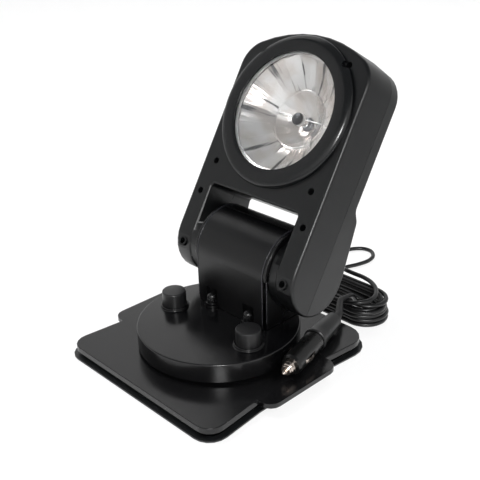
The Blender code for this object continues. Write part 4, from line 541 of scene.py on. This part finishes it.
# Neck beads: thin raised lines of black ABS, moulded on. The outer one follows the cover's
# edge over the barrel and down to the foot. The inner one shows on the cheek's straight
# front edge alone, and lies inside the cheek round the barrel.
def round_tube(name, points, radius):
    """A round bar along a line of points, made solid."""
    curve = bpy.data.curves.new(name, "CURVE")
    curve.dimensions = "3D"
    curve.bevel_depth = 1.0
    curve.bevel_resolution = 3
    curve.use_fill_caps = True
    route = curve.splines.new("POLY")
    route.points.add(len(points) - 1)
    for point, place in zip(route.points, points):
        point.co = (*place, 1.0)
        point.radius = radius
    holder = bpy.data.objects.new(name, curve)
    scene.collection.objects.link(holder)
    select_only(holder)
    bpy.ops.object.convert(target="MESH")
    bar = bpy.context.object
    bpy.ops.object.mode_set(mode="EDIT")
    bpy.ops.mesh.select_all(action="SELECT")
    bpy.ops.mesh.remove_doubles(threshold=0.000001)
    bpy.ops.mesh.normals_make_consistent(inside=False)
    bpy.ops.object.mode_set(mode="OBJECT")
    bpy.ops.object.shade_smooth_by_angle(angle=math.radians(50))
    return bar


# The mould is polished along the beads, which makes them less rough, and their lighter grey is
# a painted highlight, so that they show as thin lighter lines.
bead_abs_painted_highlight = moulded_abs("polished_abs_bead_painted_highlight", "#26262a", 0.26, 0.5, 0.000004)
axle_y, axle_z = 0.0560, 0.0867
bead_radius, bead_from, bead_sweep, bead_steps = 0.00055, 62.0, 118.0, 32
bead_lines = (("cover", 0.0457, 0.0404, 0.0400), ("cheek", 0.0488, 0.0374, 0.0420))

for side, word in ((-1, "left"), (1, "right")):
    for kind, across, reach, foot in bead_lines:
        line = []
        for step in range(bead_steps + 1):
            angle = math.radians(bead_from + bead_sweep * step / bead_steps)
            line.append((side * across, axle_y + reach * math.cos(angle),
                         axle_z + reach * math.sin(angle)))
        line.append((side * across, axle_y - reach, foot))
        bead = round_tube(f"neck_{kind}_bead_{word}", line, bead_radius)
        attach(bead, "turntable")
        finish_with(bead, bead_abs_painted_highlight)


# Tilt bushes: sintered bronze with a flange, pressed into the cheeks. The metal is porous
# and oiled, brown rather than yellow.
bronze = plated_metal("sintered_bronze", "#9a7043", 0.42, 0.5, 0.00004)
for word in ("left", "right"):
    finish_with(cad_copy(f"axle_bush_{word}", f"tilt_bush_{word}", "turntable"), bronze)


# Tilt drive: a second gear motor across the neck, with its pinion in mesh with the gear
# on the axle.
finish_with(cad_copy("tilt_gear_motor", "tilt_motor", "turntable"), zinc_plate)
finish_with(cad_copy("tilt_drive_pinion", "tilt_pinion", "tilt_pinion_body"), nylon)


# Neck screws: steel screws whose washer, hexagon and dome are one black nylon cap, moulded
# over the head. One goes through each lug of the neck's foot.
def domed_screw(name, place):
    """A washer, a bevelled hexagon and a dome, spun and joined."""
    x, y = place
    foot, washer_top, dome_low, dome_radius = 0.0377, 0.0389, 0.0439, 0.0050
    hexagon_height, shank_length = 0.0050, 0.0080
    profile = [(0.0, foot), (0.0063, foot), (0.0066, foot + 0.0003), (0.0066, foot + 0.0009),
               (0.0063, washer_top), (0.0052, washer_top), (dome_radius, dome_low)]
    profile += quarter_round(0.0, dome_low, dome_radius, 0.0, 90.0, 8)
    cap = spin_profile(name, profile, 48, (x, y, 0.0))
    bpy.ops.mesh.primitive_cylinder_add(vertices=6, radius=0.0058, depth=hexagon_height,
                                        location=(x, y, washer_top + hexagon_height / 2))
    hexagon = bpy.context.object
    bpy.ops.object.transform_apply()
    soft_edges(hexagon, 0.0005, 2)
    bpy.ops.mesh.primitive_cylinder_add(vertices=20, radius=0.0022, depth=shank_length,
                                        location=(x, y, foot - shank_length / 2))
    shank = bpy.context.object
    bpy.ops.object.transform_apply()
    join_into(cap, (shank, hexagon))
    return cap


cap_black = moulded_abs("black_nylon_screw_cap", "#0c0c0d", 0.26, 0.5, 0.000006)
for corner, place in (("front_left", (-0.0263, 0.0155)), ("rear_left", (-0.0263, 0.0620)),
                      ("front_right", (0.0263, 0.0155)), ("rear_right", (0.0263, 0.0620))):
    cap = domed_screw(f"domed_screw_{corner}", place)
    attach(cap, "turntable")
    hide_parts(f"neck_screw_{corner}")
    finish_with(cap, cap_black)


# Head shells: front and rear halves of the lamp head in black ABS with a fine satin grain,
# parted along a thin line round the side and screwed together from the front.
head_lean = Matrix.Rotation(math.radians(-31.8), 4, "X")
head_place = Matrix.Translation((0.0, axle_y, axle_z)) @ head_lean
head_abs = moulded_abs("moulded_abs_head", "#08090a", 0.35, 0.6, 0.00001)
head_screws = {"top": (0.0530, 0.1962), "upper": (0.0644, 0.0743), "lower": (0.0706, 0.0405),
               "bottom": (0.0704, -0.0150)}
bore_reach = 0.0042
bore_direction = head_place.to_3x3() @ Vector((0.0, 1.0, 0.0))
head_bores = [(head_place @ Vector((side * x, 0.0, height)), bore_direction, bore_reach)
              for x, height in head_screws.values() for side in (-1, 1)]
for name, node in (("head_front", "head_front_shell"), ("head_rear", "head_rear_shell")):
    finish_with(cad_copy(name, node, "head", bores=head_bores), head_abs)


# Head screws: steel screws deep in the front shell's eight holes, in the near-black metal
# that mirrors almost nothing, a painted shade, so that the holes read as plain black.
for row in head_screws:
    for word in ("left", "right"):
        screw = cad_copy(f"shell_screw_{row}_{word}", f"head_screw_{row}_{word}", "head")
        finish_with(screw, shade_black_steel)


# Reflector: glass-filled plastic with a vacuum-metallised silver coat. A round bowl sits
# in the middle, and eighteen flat-sided flutes spread from its edge to the rim.
lamp_height = 0.1401
lamp_middle = (0.0, 0.0, lamp_height)
hole_radius, hole_depth, bowl_radius, bowl_depth = 0.0072, -0.0025, 0.0290, 0.0130
rim_radius, rim_depth, dish_wall = 0.0593, 0.0336, 0.0012
bowl_steps, flare_steps, flutes, flute_steps = 12, 14, 18, 10
ring_points = flutes * flute_steps


def reflector_ring(radius, depth, flat):
    """One ring of the reflector, drawn in towards flat sides by a share."""
    ring = []
    for index in range(ring_points):
        angle = math.tau * index / ring_points
        local = (angle % (math.tau / flutes)) - math.pi / flutes
        drawn = math.cos(math.pi / flutes) / math.cos(local)
        reach = radius * (1.0 - flat + flat * drawn)
        ring.append((reach * math.cos(angle), -depth, lamp_height + reach * math.sin(angle)))
    return ring


def into_head(piece, node):
    """Leans a piece with the head, and lets it ride there in place of a CAD node."""
    piece.data.transform(head_place)
    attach(piece, "head")
    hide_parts(node)


rings = []
for step in range(bowl_steps + 1):
    share = step / bowl_steps
    radius = hole_radius + (bowl_radius - hole_radius) * share
    rings.append(reflector_ring(radius, hole_depth + (bowl_depth - hole_depth) * share ** 1.8, 0.0))
rings.append(reflector_ring(bowl_radius + 0.0006, bowl_depth + 0.0004, 0.0))
flare_from, flare_to = bowl_radius + 0.0012, rim_radius - 0.0004
for step in range(flare_steps + 1):
    share = step / flare_steps
    radius = flare_from + (flare_to - flare_from) * share
    depth = bowl_depth + (rim_depth + dish_wall - bowl_depth) * (0.62 * share + 0.38 * share ** 2)
    rings.append(reflector_ring(radius, depth, 0.95 * min(1.0, 5.0 * share)))
rings.append(reflector_ring(0.0596, rim_depth + 0.0013, 0.0))
rings.append(reflector_ring(0.0624, rim_depth + 0.0013, 0.0))
rings.append(reflector_ring(0.0626, rim_depth + 0.0004, 0.0))
faces = []
for row in range(len(rings) - 1):
    low, high = row * ring_points, (row + 1) * ring_points
    for index in range(ring_points):
        after = (index + 1) % ring_points
        faces.append((low + index, low + after, high + after, high + index))
dish_mesh = bpy.data.meshes.new("reflector_dish")
dish_mesh.from_pydata([point for ring in rings for point in ring], [], faces)
spread = dish_mesh.uv_layers.new(name="round_and_out")
for face in dish_mesh.polygons:
    first = face.vertices[0] % ring_points
    for corner in face.loop_indices:
        number = dish_mesh.loops[corner].vertex_index
        step = number % ring_points
        if first == ring_points - 1 and step == 0:
            step = ring_points
        spread.data[corner].uv = (step / ring_points, number // ring_points / len(rings))
dish = bpy.data.objects.new("reflector_dish", dish_mesh)
scene.collection.objects.link(dish)
select_only(dish)
wall_depth = dish.modifiers.new("wall", "SOLIDIFY")
wall_depth.thickness = dish_wall
wall_depth.offset = -1.0
bpy.ops.object.modifier_apply(modifier=wall_depth.name)
bpy.ops.object.mode_set(mode="EDIT")
bpy.ops.mesh.select_all(action="SELECT")
bpy.ops.mesh.normals_make_consistent(inside=False)
bpy.ops.object.mode_set(mode="OBJECT")
bpy.ops.object.shade_smooth_by_angle(angle=math.radians(10))
into_head(dish, "reflector")


def metallised_silver():
    """Vacuum-metallised coat: a soft mirror, with faint streaks that run outward, thin dark lines
    painted along them as a painted reflection, and a cloudy patch here and there where the
    lacquer under it is uneven."""
    material, tree, place = new_material("vacuum_metallised_silver")
    along = add_node(tree, "ShaderNodeUVMap", uv_map="round_and_out")
    spread_out = add_node(tree, "ShaderNodeMapping", {
        "Vector": along.outputs[0], "Scale": (42.0, 1.6, 1.0)})
    streak = add_node(tree, "ShaderNodeTexNoise", {
        "Vector": spread_out.outputs[0], "Scale": 1.0, "Detail": 2.0})
    cloud = add_node(tree, "ShaderNodeTexNoise", {"Vector": place, "Scale": 48.0, "Detail": 3.0})
    tone = add_node(tree, "ShaderNodeValToRGB", {"Fac": cloud.outputs[0]})
    tone.color_ramp.elements[0].position = 0.38
    tone.color_ramp.elements[0].color = linear("#e6dfda")
    tone.color_ramp.elements[1].position = 0.62
    tone.color_ramp.elements[1].color = linear("#f8f8f7")
    # Where the streaks run low the colour is painted dark grey: thin painted reflection lines
    # from the bowl to the rim, with the bowl kept free of them.
    painted_line_mask = add_node(tree, "ShaderNodeMapRange", {
        "Value": streak.outputs[0], 1: 0.34, 2: 0.43, 3: 0.0, 4: 1.0})
    out = add_node(tree, "ShaderNodeSeparateXYZ", {0: along.outputs[0]})
    bowl = add_node(tree, "ShaderNodeMapRange", {
        "Value": out.outputs[1], 1: 0.40, 2: 0.46, 3: 1.0, 4: 0.0})
    free_of_painted_lines = add_node(tree, "ShaderNodeMath", {
        0: painted_line_mask.outputs[0], 1: bowl.outputs[0]}, operation="MAXIMUM")
    # The painted reflection lines' dark grey is mixed in where the mask is low.
    painted_line_colour = add_node(tree, "ShaderNodeMix", {
        0: free_of_painted_lines.outputs[0], 6: linear("#6a6b6d"), 7: tone.outputs[0]}, data_type="RGBA")
    gloss = add_node(tree, "ShaderNodeMapRange", {
        "Value": cloud.outputs[0], 1: 0.3, 2: 0.7, 3: 0.13, 4: 0.24})
    bump = add_node(tree, "ShaderNodeBump", {
        "Height": streak.outputs[0], "Strength": 0.55, "Distance": 0.0009})
    skin = add_node(tree, "ShaderNodeBsdfPrincipled", {
        "Base Color": painted_line_colour.outputs[2], "Metallic": 0.72, "Roughness": gloss.outputs[0],
        "Normal": bump.outputs[0]})
    return surfaced(material, tree, skin)


finish_with(dish, metallised_silver())


# Bulb base: a turned, zinc-plated cup with a flange, clipped to the reflector's back and
# showing as a small ring in its middle.
socket_profile = [(0.0, 0.0012), (0.0052, 0.0012), (0.0058, 0.0008), (0.0058, -0.0010),
                  (0.0062, -0.0014), (0.0062, -0.0058), (0.0137, -0.0058), (0.0140, -0.0061),
                  (0.0140, -0.0080), (0.0137, -0.0083), (0.0, -0.0083)]
bulb_base = spin_profile("bulb_socket", socket_profile, 48, lamp_middle, "Y")
into_head(bulb_base, "bulb_base")
finish_with(bulb_base, zinc_plate)


# Bulb capsule: drawn quartz glass with a pinched foot and a pointed tip, very clear, so
# that it mostly shows as bright bent lines.
def clear_glass(name, wave):
    """Clear glass: sharp reflections, and faint waves some millimetres long from its making."""
    material, tree, place = new_material(name)
    noise = add_node(tree, "ShaderNodeTexNoise", {
        "Vector": place, "Scale": 1000.0 / wave, "Detail": 2.0})
    bump = add_node(tree, "ShaderNodeBump", {
        "Height": noise.outputs[0], "Strength": 0.3, "Distance": 0.00008})
    skin = add_node(tree, "ShaderNodeBsdfPrincipled", {
        "Base Color": linear("#ffffff"), "IOR": 1.47, "Roughness": 0.0,
        "Transmission Weight": 1.0, "Normal": bump.outputs[0]})
    return surfaced(material, tree, skin)


capsule_profile = [(0.0, 0.0015), (0.0030, 0.0015), (0.0032, 0.0030), (0.0040, 0.0048),
                   (0.0046, 0.0066), (0.0046, 0.0112), (0.0042, 0.0132), (0.0030, 0.0150),
                   (0.0012, 0.0160), (0.0, 0.0164)]
capsule = spin_profile("bulb_capsule", capsule_profile, 40, lamp_middle, "Y", 60.0)
into_head(capsule, "bulb_glass")
finish_with(capsule, clear_glass("drawn_quartz_glass", 3.0))


# Bulb shield: a deep-drawn steel cup in front of the bulb's tip, which keeps the glare down,
# on a straight bright wire that spans the bowl from edge to edge.
cup_front, cup_back, cup_radius, cup_round = 0.0175, 0.0115, 0.0062, 0.0010
wire_radius, wire_length = 0.0007, 0.0220
cup_profile = [(0.0, cup_front), (0.0052, cup_front)]
cup_profile += quarter_round(0.0052, 0.0165, cup_round, 90.0, 0.0, 3)
cup_profile += [(cup_radius, cup_back), (0.0055, cup_back), (0.0055, 0.0168), (0.0, 0.0168)]
cup = spin_profile("bulb_glare_cup", cup_profile, 48, lamp_middle, "Y")
for side in (-1, 1):
    bpy.ops.mesh.primitive_cylinder_add(vertices=12, radius=wire_radius, depth=wire_length,
                                        location=(side * 0.0172, -0.0136, lamp_height + 0.0010),
                                        rotation=(0.0, math.radians(90), 0.0))
    wire = bpy.context.object
    bpy.ops.object.transform_apply()
    soft_edges(wire, 0.0002, 2)
    join_into(cup, [wire])
into_head(cup, "bulb_shield")


def dark_ended_cup():
    """Drawn steel: dark grey with a fine speckle on the cup's end, and bright on its wire."""
    material, tree, place = new_material("drawn_steel_dark_end")
    middle = head_place @ Vector((0.0, -cup_front, lamp_height))
    gap = add_node(tree, "ShaderNodeVectorMath", {
        0: place, 1: tuple(middle)}, operation="DISTANCE")
    end_speckle = add_node(tree, "ShaderNodeTexNoise", {"Vector": place, "Scale": 900.0, "Detail": 3.0})
    reach = add_node(tree, "ShaderNodeMapRange", {
        "Value": gap.outputs["Value"], 1: 0.0062, 2: 0.0072, 3: 0.0, 4: 1.0})
    dark = add_node(tree, "ShaderNodeValToRGB", {"Fac": end_speckle.outputs[0]})
    dark.color_ramp.elements[0].position = 0.4
    dark.color_ramp.elements[0].color = linear("#1d1e20")
    dark.color_ramp.elements[1].position = 0.6
    dark.color_ramp.elements[1].color = linear("#4a4b4e")
    bump = add_node(tree, "ShaderNodeBump", {
        "Height": end_speckle.outputs[0], "Strength": 0.3, "Distance": 0.00001})
    tone = add_node(tree, "ShaderNodeMix", {
        0: reach.outputs[0], 6: dark.outputs[0], 7: linear("#eeeeee")}, data_type="RGBA")
    skin = add_node(tree, "ShaderNodeBsdfPrincipled", {
        "Base Color": tone.outputs[2], "Metallic": 0.8, "Roughness": 0.3,
        "Normal": bump.outputs[0]})
    return surfaced(material, tree, skin)


finish_with(cup, dark_ended_cup())


# Lens gasket: a rubber ring, square in section, moulded and laid between the glass and the
# reflector's rim. Its pale grey is a painted glint, which shows as a light line inside the bezel.
seal_inner, seal_outer, seal_back, seal_front = 0.0598, 0.0626, 0.0354, 0.0380
seal_profile = [(seal_inner, seal_back), (seal_outer, seal_back), (seal_outer, seal_front),
                (seal_inner, seal_front), (seal_inner, seal_back)]
seal = spin_profile("lens_seal", seal_profile, 160, lamp_middle, "Y")
into_head(seal, "lens_gasket")
# Pale grey: a painted glint along the glass's edge.
finish_with(seal, soft_rubber("seal_rubber_pale_painted_glint", "#d0d2d3", 0.4, 0.8))


# Lens glass: pressed soda glass, clear and very slightly crowned, held by the bezel. Its
# rounded edge shows as a thin bright line inside the ring.
glass_front, glass_crown, crown_radius, crown_steps = 0.0425, 0.0012, 0.0592, 8
glass_profile = [(0.0, glass_front)]
for step in range(1, crown_steps + 1):
    share = step / crown_steps
    glass_profile.append((crown_radius * share, glass_front - glass_crown * share ** 2))
glass_profile += quarter_round(0.0620, 0.0407, 0.0006, 90.0, 0.0, 3)
glass_profile += [(0.0626, 0.0386), (0.0623, 0.0383), (0.0, 0.0383)]
glass = spin_profile("front_glass", glass_profile, 160, lamp_middle, "Y", 25.0)
into_head(glass, "lens_glass")
finish_with(glass, clear_glass("pressed_soda_glass", 6.0))


# Bezel: a wide black ABS ring with a full round outer shoulder, notched for the two top
# screws, which clamps the glass. It is glossier than the head's face.
bezel_inner, bezel_outer, bezel_front, bezel_back = 0.0598, 0.0774, 0.0449, 0.0383
shoulder_from, shoulder_width, shoulder_depth, shoulder_steps = 0.0700, 0.0074, 0.0050, 12
bezel_profile = [(bezel_inner, 0.0416), (bezel_inner, 0.0438)]
bezel_profile += quarter_round(0.0604, 0.0438, 0.0006, 180.0, 95.0, 4)
bezel_profile += [(0.0640, 0.0447), (0.0676, bezel_front), (shoulder_from, bezel_front)]
for step in range(1, shoulder_steps + 1):
    angle = math.radians(90.0 * step / shoulder_steps)
    bezel_profile.append((shoulder_from + shoulder_width * math.sin(angle),
                          bezel_front - shoulder_depth * (1.0 - math.cos(angle))))
bezel_profile += [(bezel_outer, bezel_back), (0.0629, bezel_back), (0.0629, 0.0416),
                  (bezel_inner, 0.0416)]
bezel = spin_profile("lens_bezel", bezel_profile, 200, lamp_middle, "Y")
top_x, top_height = head_screws["top"]
for side in (-1, 1):
    bpy.ops.mesh.primitive_cylinder_add(vertices=40, radius=0.0043, depth=0.06,
                                        location=(side * top_x, -0.03, top_height),
                                        rotation=(math.radians(90), 0.0, 0.0))
    drill = bpy.context.object
    select_only(bezel)
    notch = bezel.modifiers.new("notch", "BOOLEAN")
    notch.object = drill
    notch.solver = "EXACT"
    bpy.ops.object.modifier_apply(modifier=notch.name)
    bpy.data.objects.remove(drill)
select_only(bezel)
bpy.ops.object.shade_smooth_by_angle(angle=math.radians(32))
into_head(bezel, "bezel_ring")
finish_with(bezel, moulded_abs("moulded_abs_bezel", "#090a0b", 0.22, 0.6, 0.000006))


# Tilt axle and gear: a zinc-plated steel axle held in the head's arms, with a nylon gear
# sector that the tilt pinion drives.
finish_with(cad_copy("steel_axle", "tilt_axle", "head"), zinc_plate)
finish_with(cad_copy("axle_gear", "tilt_gear", "head"), nylon)


# Power cord: black PVC cable of 4.8 mm, extruded round. It runs from the gland round a loose
# loop on the floor, over the hank and down into it, in long turns, and out to the plug.
cord_route = [
    (-0.0450, 0.1090, 0.0078), (-0.0450, 0.1204, 0.0078), (-0.0450, 0.1310, 0.0078),
    (-0.0440, 0.1425, 0.0066), (-0.0405, 0.1570, 0.0038), (-0.0335, 0.1780, 0.0028),
    (-0.0250, 0.2000, 0.0027), (-0.0205, 0.2220, 0.0027), (-0.0130, 0.2430, 0.0027),
    (-0.0110, 0.2600, 0.0027), (-0.0170, 0.2740, 0.0027), (-0.0300, 0.2805, 0.0027),
    (-0.0430, 0.2730, 0.0027), (-0.0500, 0.2550, 0.0027), (-0.0520, 0.2360, 0.0029),
    (-0.0460, 0.2200, 0.0040), (-0.0340, 0.2105, 0.0072), (-0.0190, 0.2040, 0.0125),
    (-0.0060, 0.1955, 0.0195), (0.0040, 0.1870, 0.0256), (0.0140, 0.1805, 0.0278),
    (0.0270, 0.1800, 0.0276), (0.0420, 0.1800, 0.0274), (0.0580, 0.1745, 0.0274),
    (0.0700, 0.1640, 0.0274), (0.0765, 0.1520, 0.0274), (0.0770, 0.1420, 0.0274),
    (0.0735, 0.1345, 0.0272),
]
tail_route = [
    (0.0137, 0.1678, 0.0024), (0.0273, 0.1648, 0.0025), (0.0410, 0.1632, 0.0027),
    (0.0470, 0.1625, 0.0028), (0.0520, 0.1595, 0.0045), (0.0545, 0.1548, 0.0085),
    (0.0548, 0.1502, 0.0142), (0.0555, 0.1455, 0.0212), (0.0558, 0.1410, 0.0260),
    (0.0558, 0.1365, 0.0278), (0.0560, 0.1325, 0.0280),
]
cord_radius, hank_y, hank_run, row_pitch = 0.0024, 0.1520, 0.0640, 0.00486
hank_from, hank_turns, hank_steps = 0.12, 9.38, 216
# Where each turn lies: its distance from the hank's middle line, and its row from below.
hank_slots = [(0.0228, 4), (0.0174, 4), (0.0174, 3), (0.0228, 3), (0.0228, 2), (0.0174, 2),
              (0.0174, 1), (0.0228, 1), (0.0228, 0), (0.0174, 0)]


def hank_outline(part, radius):
    """A point of the hank's oval, seen from above."""
    if part < 0.25:
        return (hank_run * (1.0 - 4.0 * part), hank_y - radius)
    if part < 0.5:
        angle = -math.pi / 2 - math.pi * 4.0 * (part - 0.25)
        return (radius * math.cos(angle), hank_y + radius * math.sin(angle))
    if part < 0.75:
        return (hank_run * 4.0 * (part - 0.5), hank_y + radius)
    angle = math.pi / 2 - math.pi * 4.0 * (part - 0.75)
    return (hank_run + radius * math.cos(angle), hank_y + radius * math.sin(angle))


def hank_point(turns):
    """A point of the hank, counted in turns from the front right corner, clockwise."""
    turn = int(turns)
    part = turns - turn
    # Each turn slips to the next slot between the hank's rear side and its right end.
    start = 0.5 + (8 - turn) * 0.04
    move = min(1.0, max(0.0, (part - start) / 0.18))
    move = move * move * (3.0 - 2.0 * move)
    radius, row = hank_slots[turn]
    if turn < 9:
        radius += (hank_slots[turn + 1][0] - radius) * move
        row += (hank_slots[turn + 1][1] - row) * move
    radius += 0.00022 * math.sin(5.0 * turns + 2.0 * turn)
    height = cord_radius + row_pitch * row
    x, y = hank_outline(part, radius)
    return (x + 0.0012 * math.sin(2.3 * row + 0.6), y + 0.0009 * math.sin(1.9 * row), height)


into_hank = [(0.0690, 0.1310, 0.0264), (0.0620, 0.1295, 0.0248), (0.0530, 0.1292, 0.0229),
             (0.0430, 0.1292, 0.0219)]
cord_points = cord_route + into_hank
cord_points += [hank_point(hank_from + hank_turns * step / hank_steps)
                for step in range(hank_steps + 1)]
cord_points += tail_route
cord_curve = bpy.data.curves.new("cord", "CURVE")
cord_curve.dimensions = "3D"
# The radius is set on the points, because a curve's bounds grow by its points' radius.
cord_curve.bevel_depth = 1.0
cord_curve.bevel_resolution = 5
cord_curve.resolution_u = 5
cord_curve.use_fill_caps = True
line = cord_curve.splines.new("BEZIER")
line.bezier_points.add(len(cord_points) - 1)
for point, place in zip(line.bezier_points, cord_points):
    point.co = place
    point.radius = cord_radius
    point.handle_left_type = "AUTO"
    point.handle_right_type = "AUTO"
cord = bpy.data.objects.new("power_cord_run", cord_curve)
scene.collection.objects.link(cord)
select_only(cord)
bpy.ops.object.mode_set(mode="EDIT")
bpy.ops.curve.select_all(action="SELECT")
bpy.ops.curve.handle_type_set(type="AUTOMATIC")
bpy.ops.object.mode_set(mode="OBJECT")
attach(cord, "base")
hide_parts("power_cord", "power_cord_coil", "power_cord_tail")
cord.data.materials.append(soft_rubber("extruded_pvc_jacket", "#0b0b0c", 0.34, 0.9))


# Plug strain relief: soft black PVC moulded over the cord's end. It tapers and bends with
# the cord toward the hank.
relief = cad_copy("plug_strain_relief", "plug_relief", "base")
finish_with(relief, black_rubber)


# Plug barrel: black phenolic tube with a slot on each side for the contacts, screwed on
# the grip.
plug_black = moulded_abs("moulded_phenolic", "#070707", 0.28, 1.4, 0.00001)
barrel = cad_copy("plug_tube", "plug_barrel", "base", 40.0)
finish_with(barrel, plug_black)


# Plug fuse: a glass tube with drawn steel caps, which show as bright metal, laid in the
# barrel behind the pin.
bright_steel = plated_metal("bright_drawn_steel", "#c8c8ca", 0.2, 0.4, 0.00001)
finish_with(cad_copy("plug_glass_fuse", "plug_fuse", "base"), bright_steel)


# Plug nut and pin: turned brass with bright nickel plate, slightly pink in the light. The
# nut closes the barrel and the round-ended pin slides through it on a spring.
plug_place = (Matrix.Translation((0.1000, -0.0134, 0.0236))
              @ Matrix.Rotation(math.radians(14.7), 4, "Z")
              @ Matrix.Rotation(math.radians(0.8), 4, "X"))
nickel = plated_metal("bright_nickel_plate", "#cfc3ba", 0.16, 0.3, 0.00001)
nut_profile = [(0.0022, 0.0060), (0.0022, 0.0055), (0.0044, 0.0055), (0.0050, 0.0061),
               (0.0050, 0.0078), (0.0056, 0.0082), (0.0060, 0.0088), (0.0060, 0.0112),
               (0.0057, 0.0116), (0.0057, 0.0121), (0.0060, 0.0125), (0.0060, 0.0145),
               (0.0022, 0.0145), (0.0022, 0.0060)]
nut = spin_profile("plug_end_nut", nut_profile, 64, axis="back")
nut.data.transform(plug_place)
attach(nut, "base")
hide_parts("plug_nut")
finish_with(nut, nickel)
pin = cad_copy("plug_centre_pin", "plug_pin", "pin_body")
finish_with(pin, nickel)


# Plug contacts: springy nickel-plated strip, bowed out through the barrel's slots so that
# each presses on a socket's wall.
for word in ("left", "right"):
    contact = cad_copy(f"plug_spring_{word}", f"plug_contact_{word}", f"contact_{word}_body")
    finish_with(contact, nickel)


# Plug grip: moulded black ABS, round, thicker than the barrel and narrowing to the strain
# relief. It is rougher than the barrel and looks a little paler.
grip = cad_copy("plug_body", "plug_grip", "base", 40.0)
finish_with(grip, moulded_abs("moulded_abs_grip", "#0d0d0e", 0.4, 1.2, 0.00004))
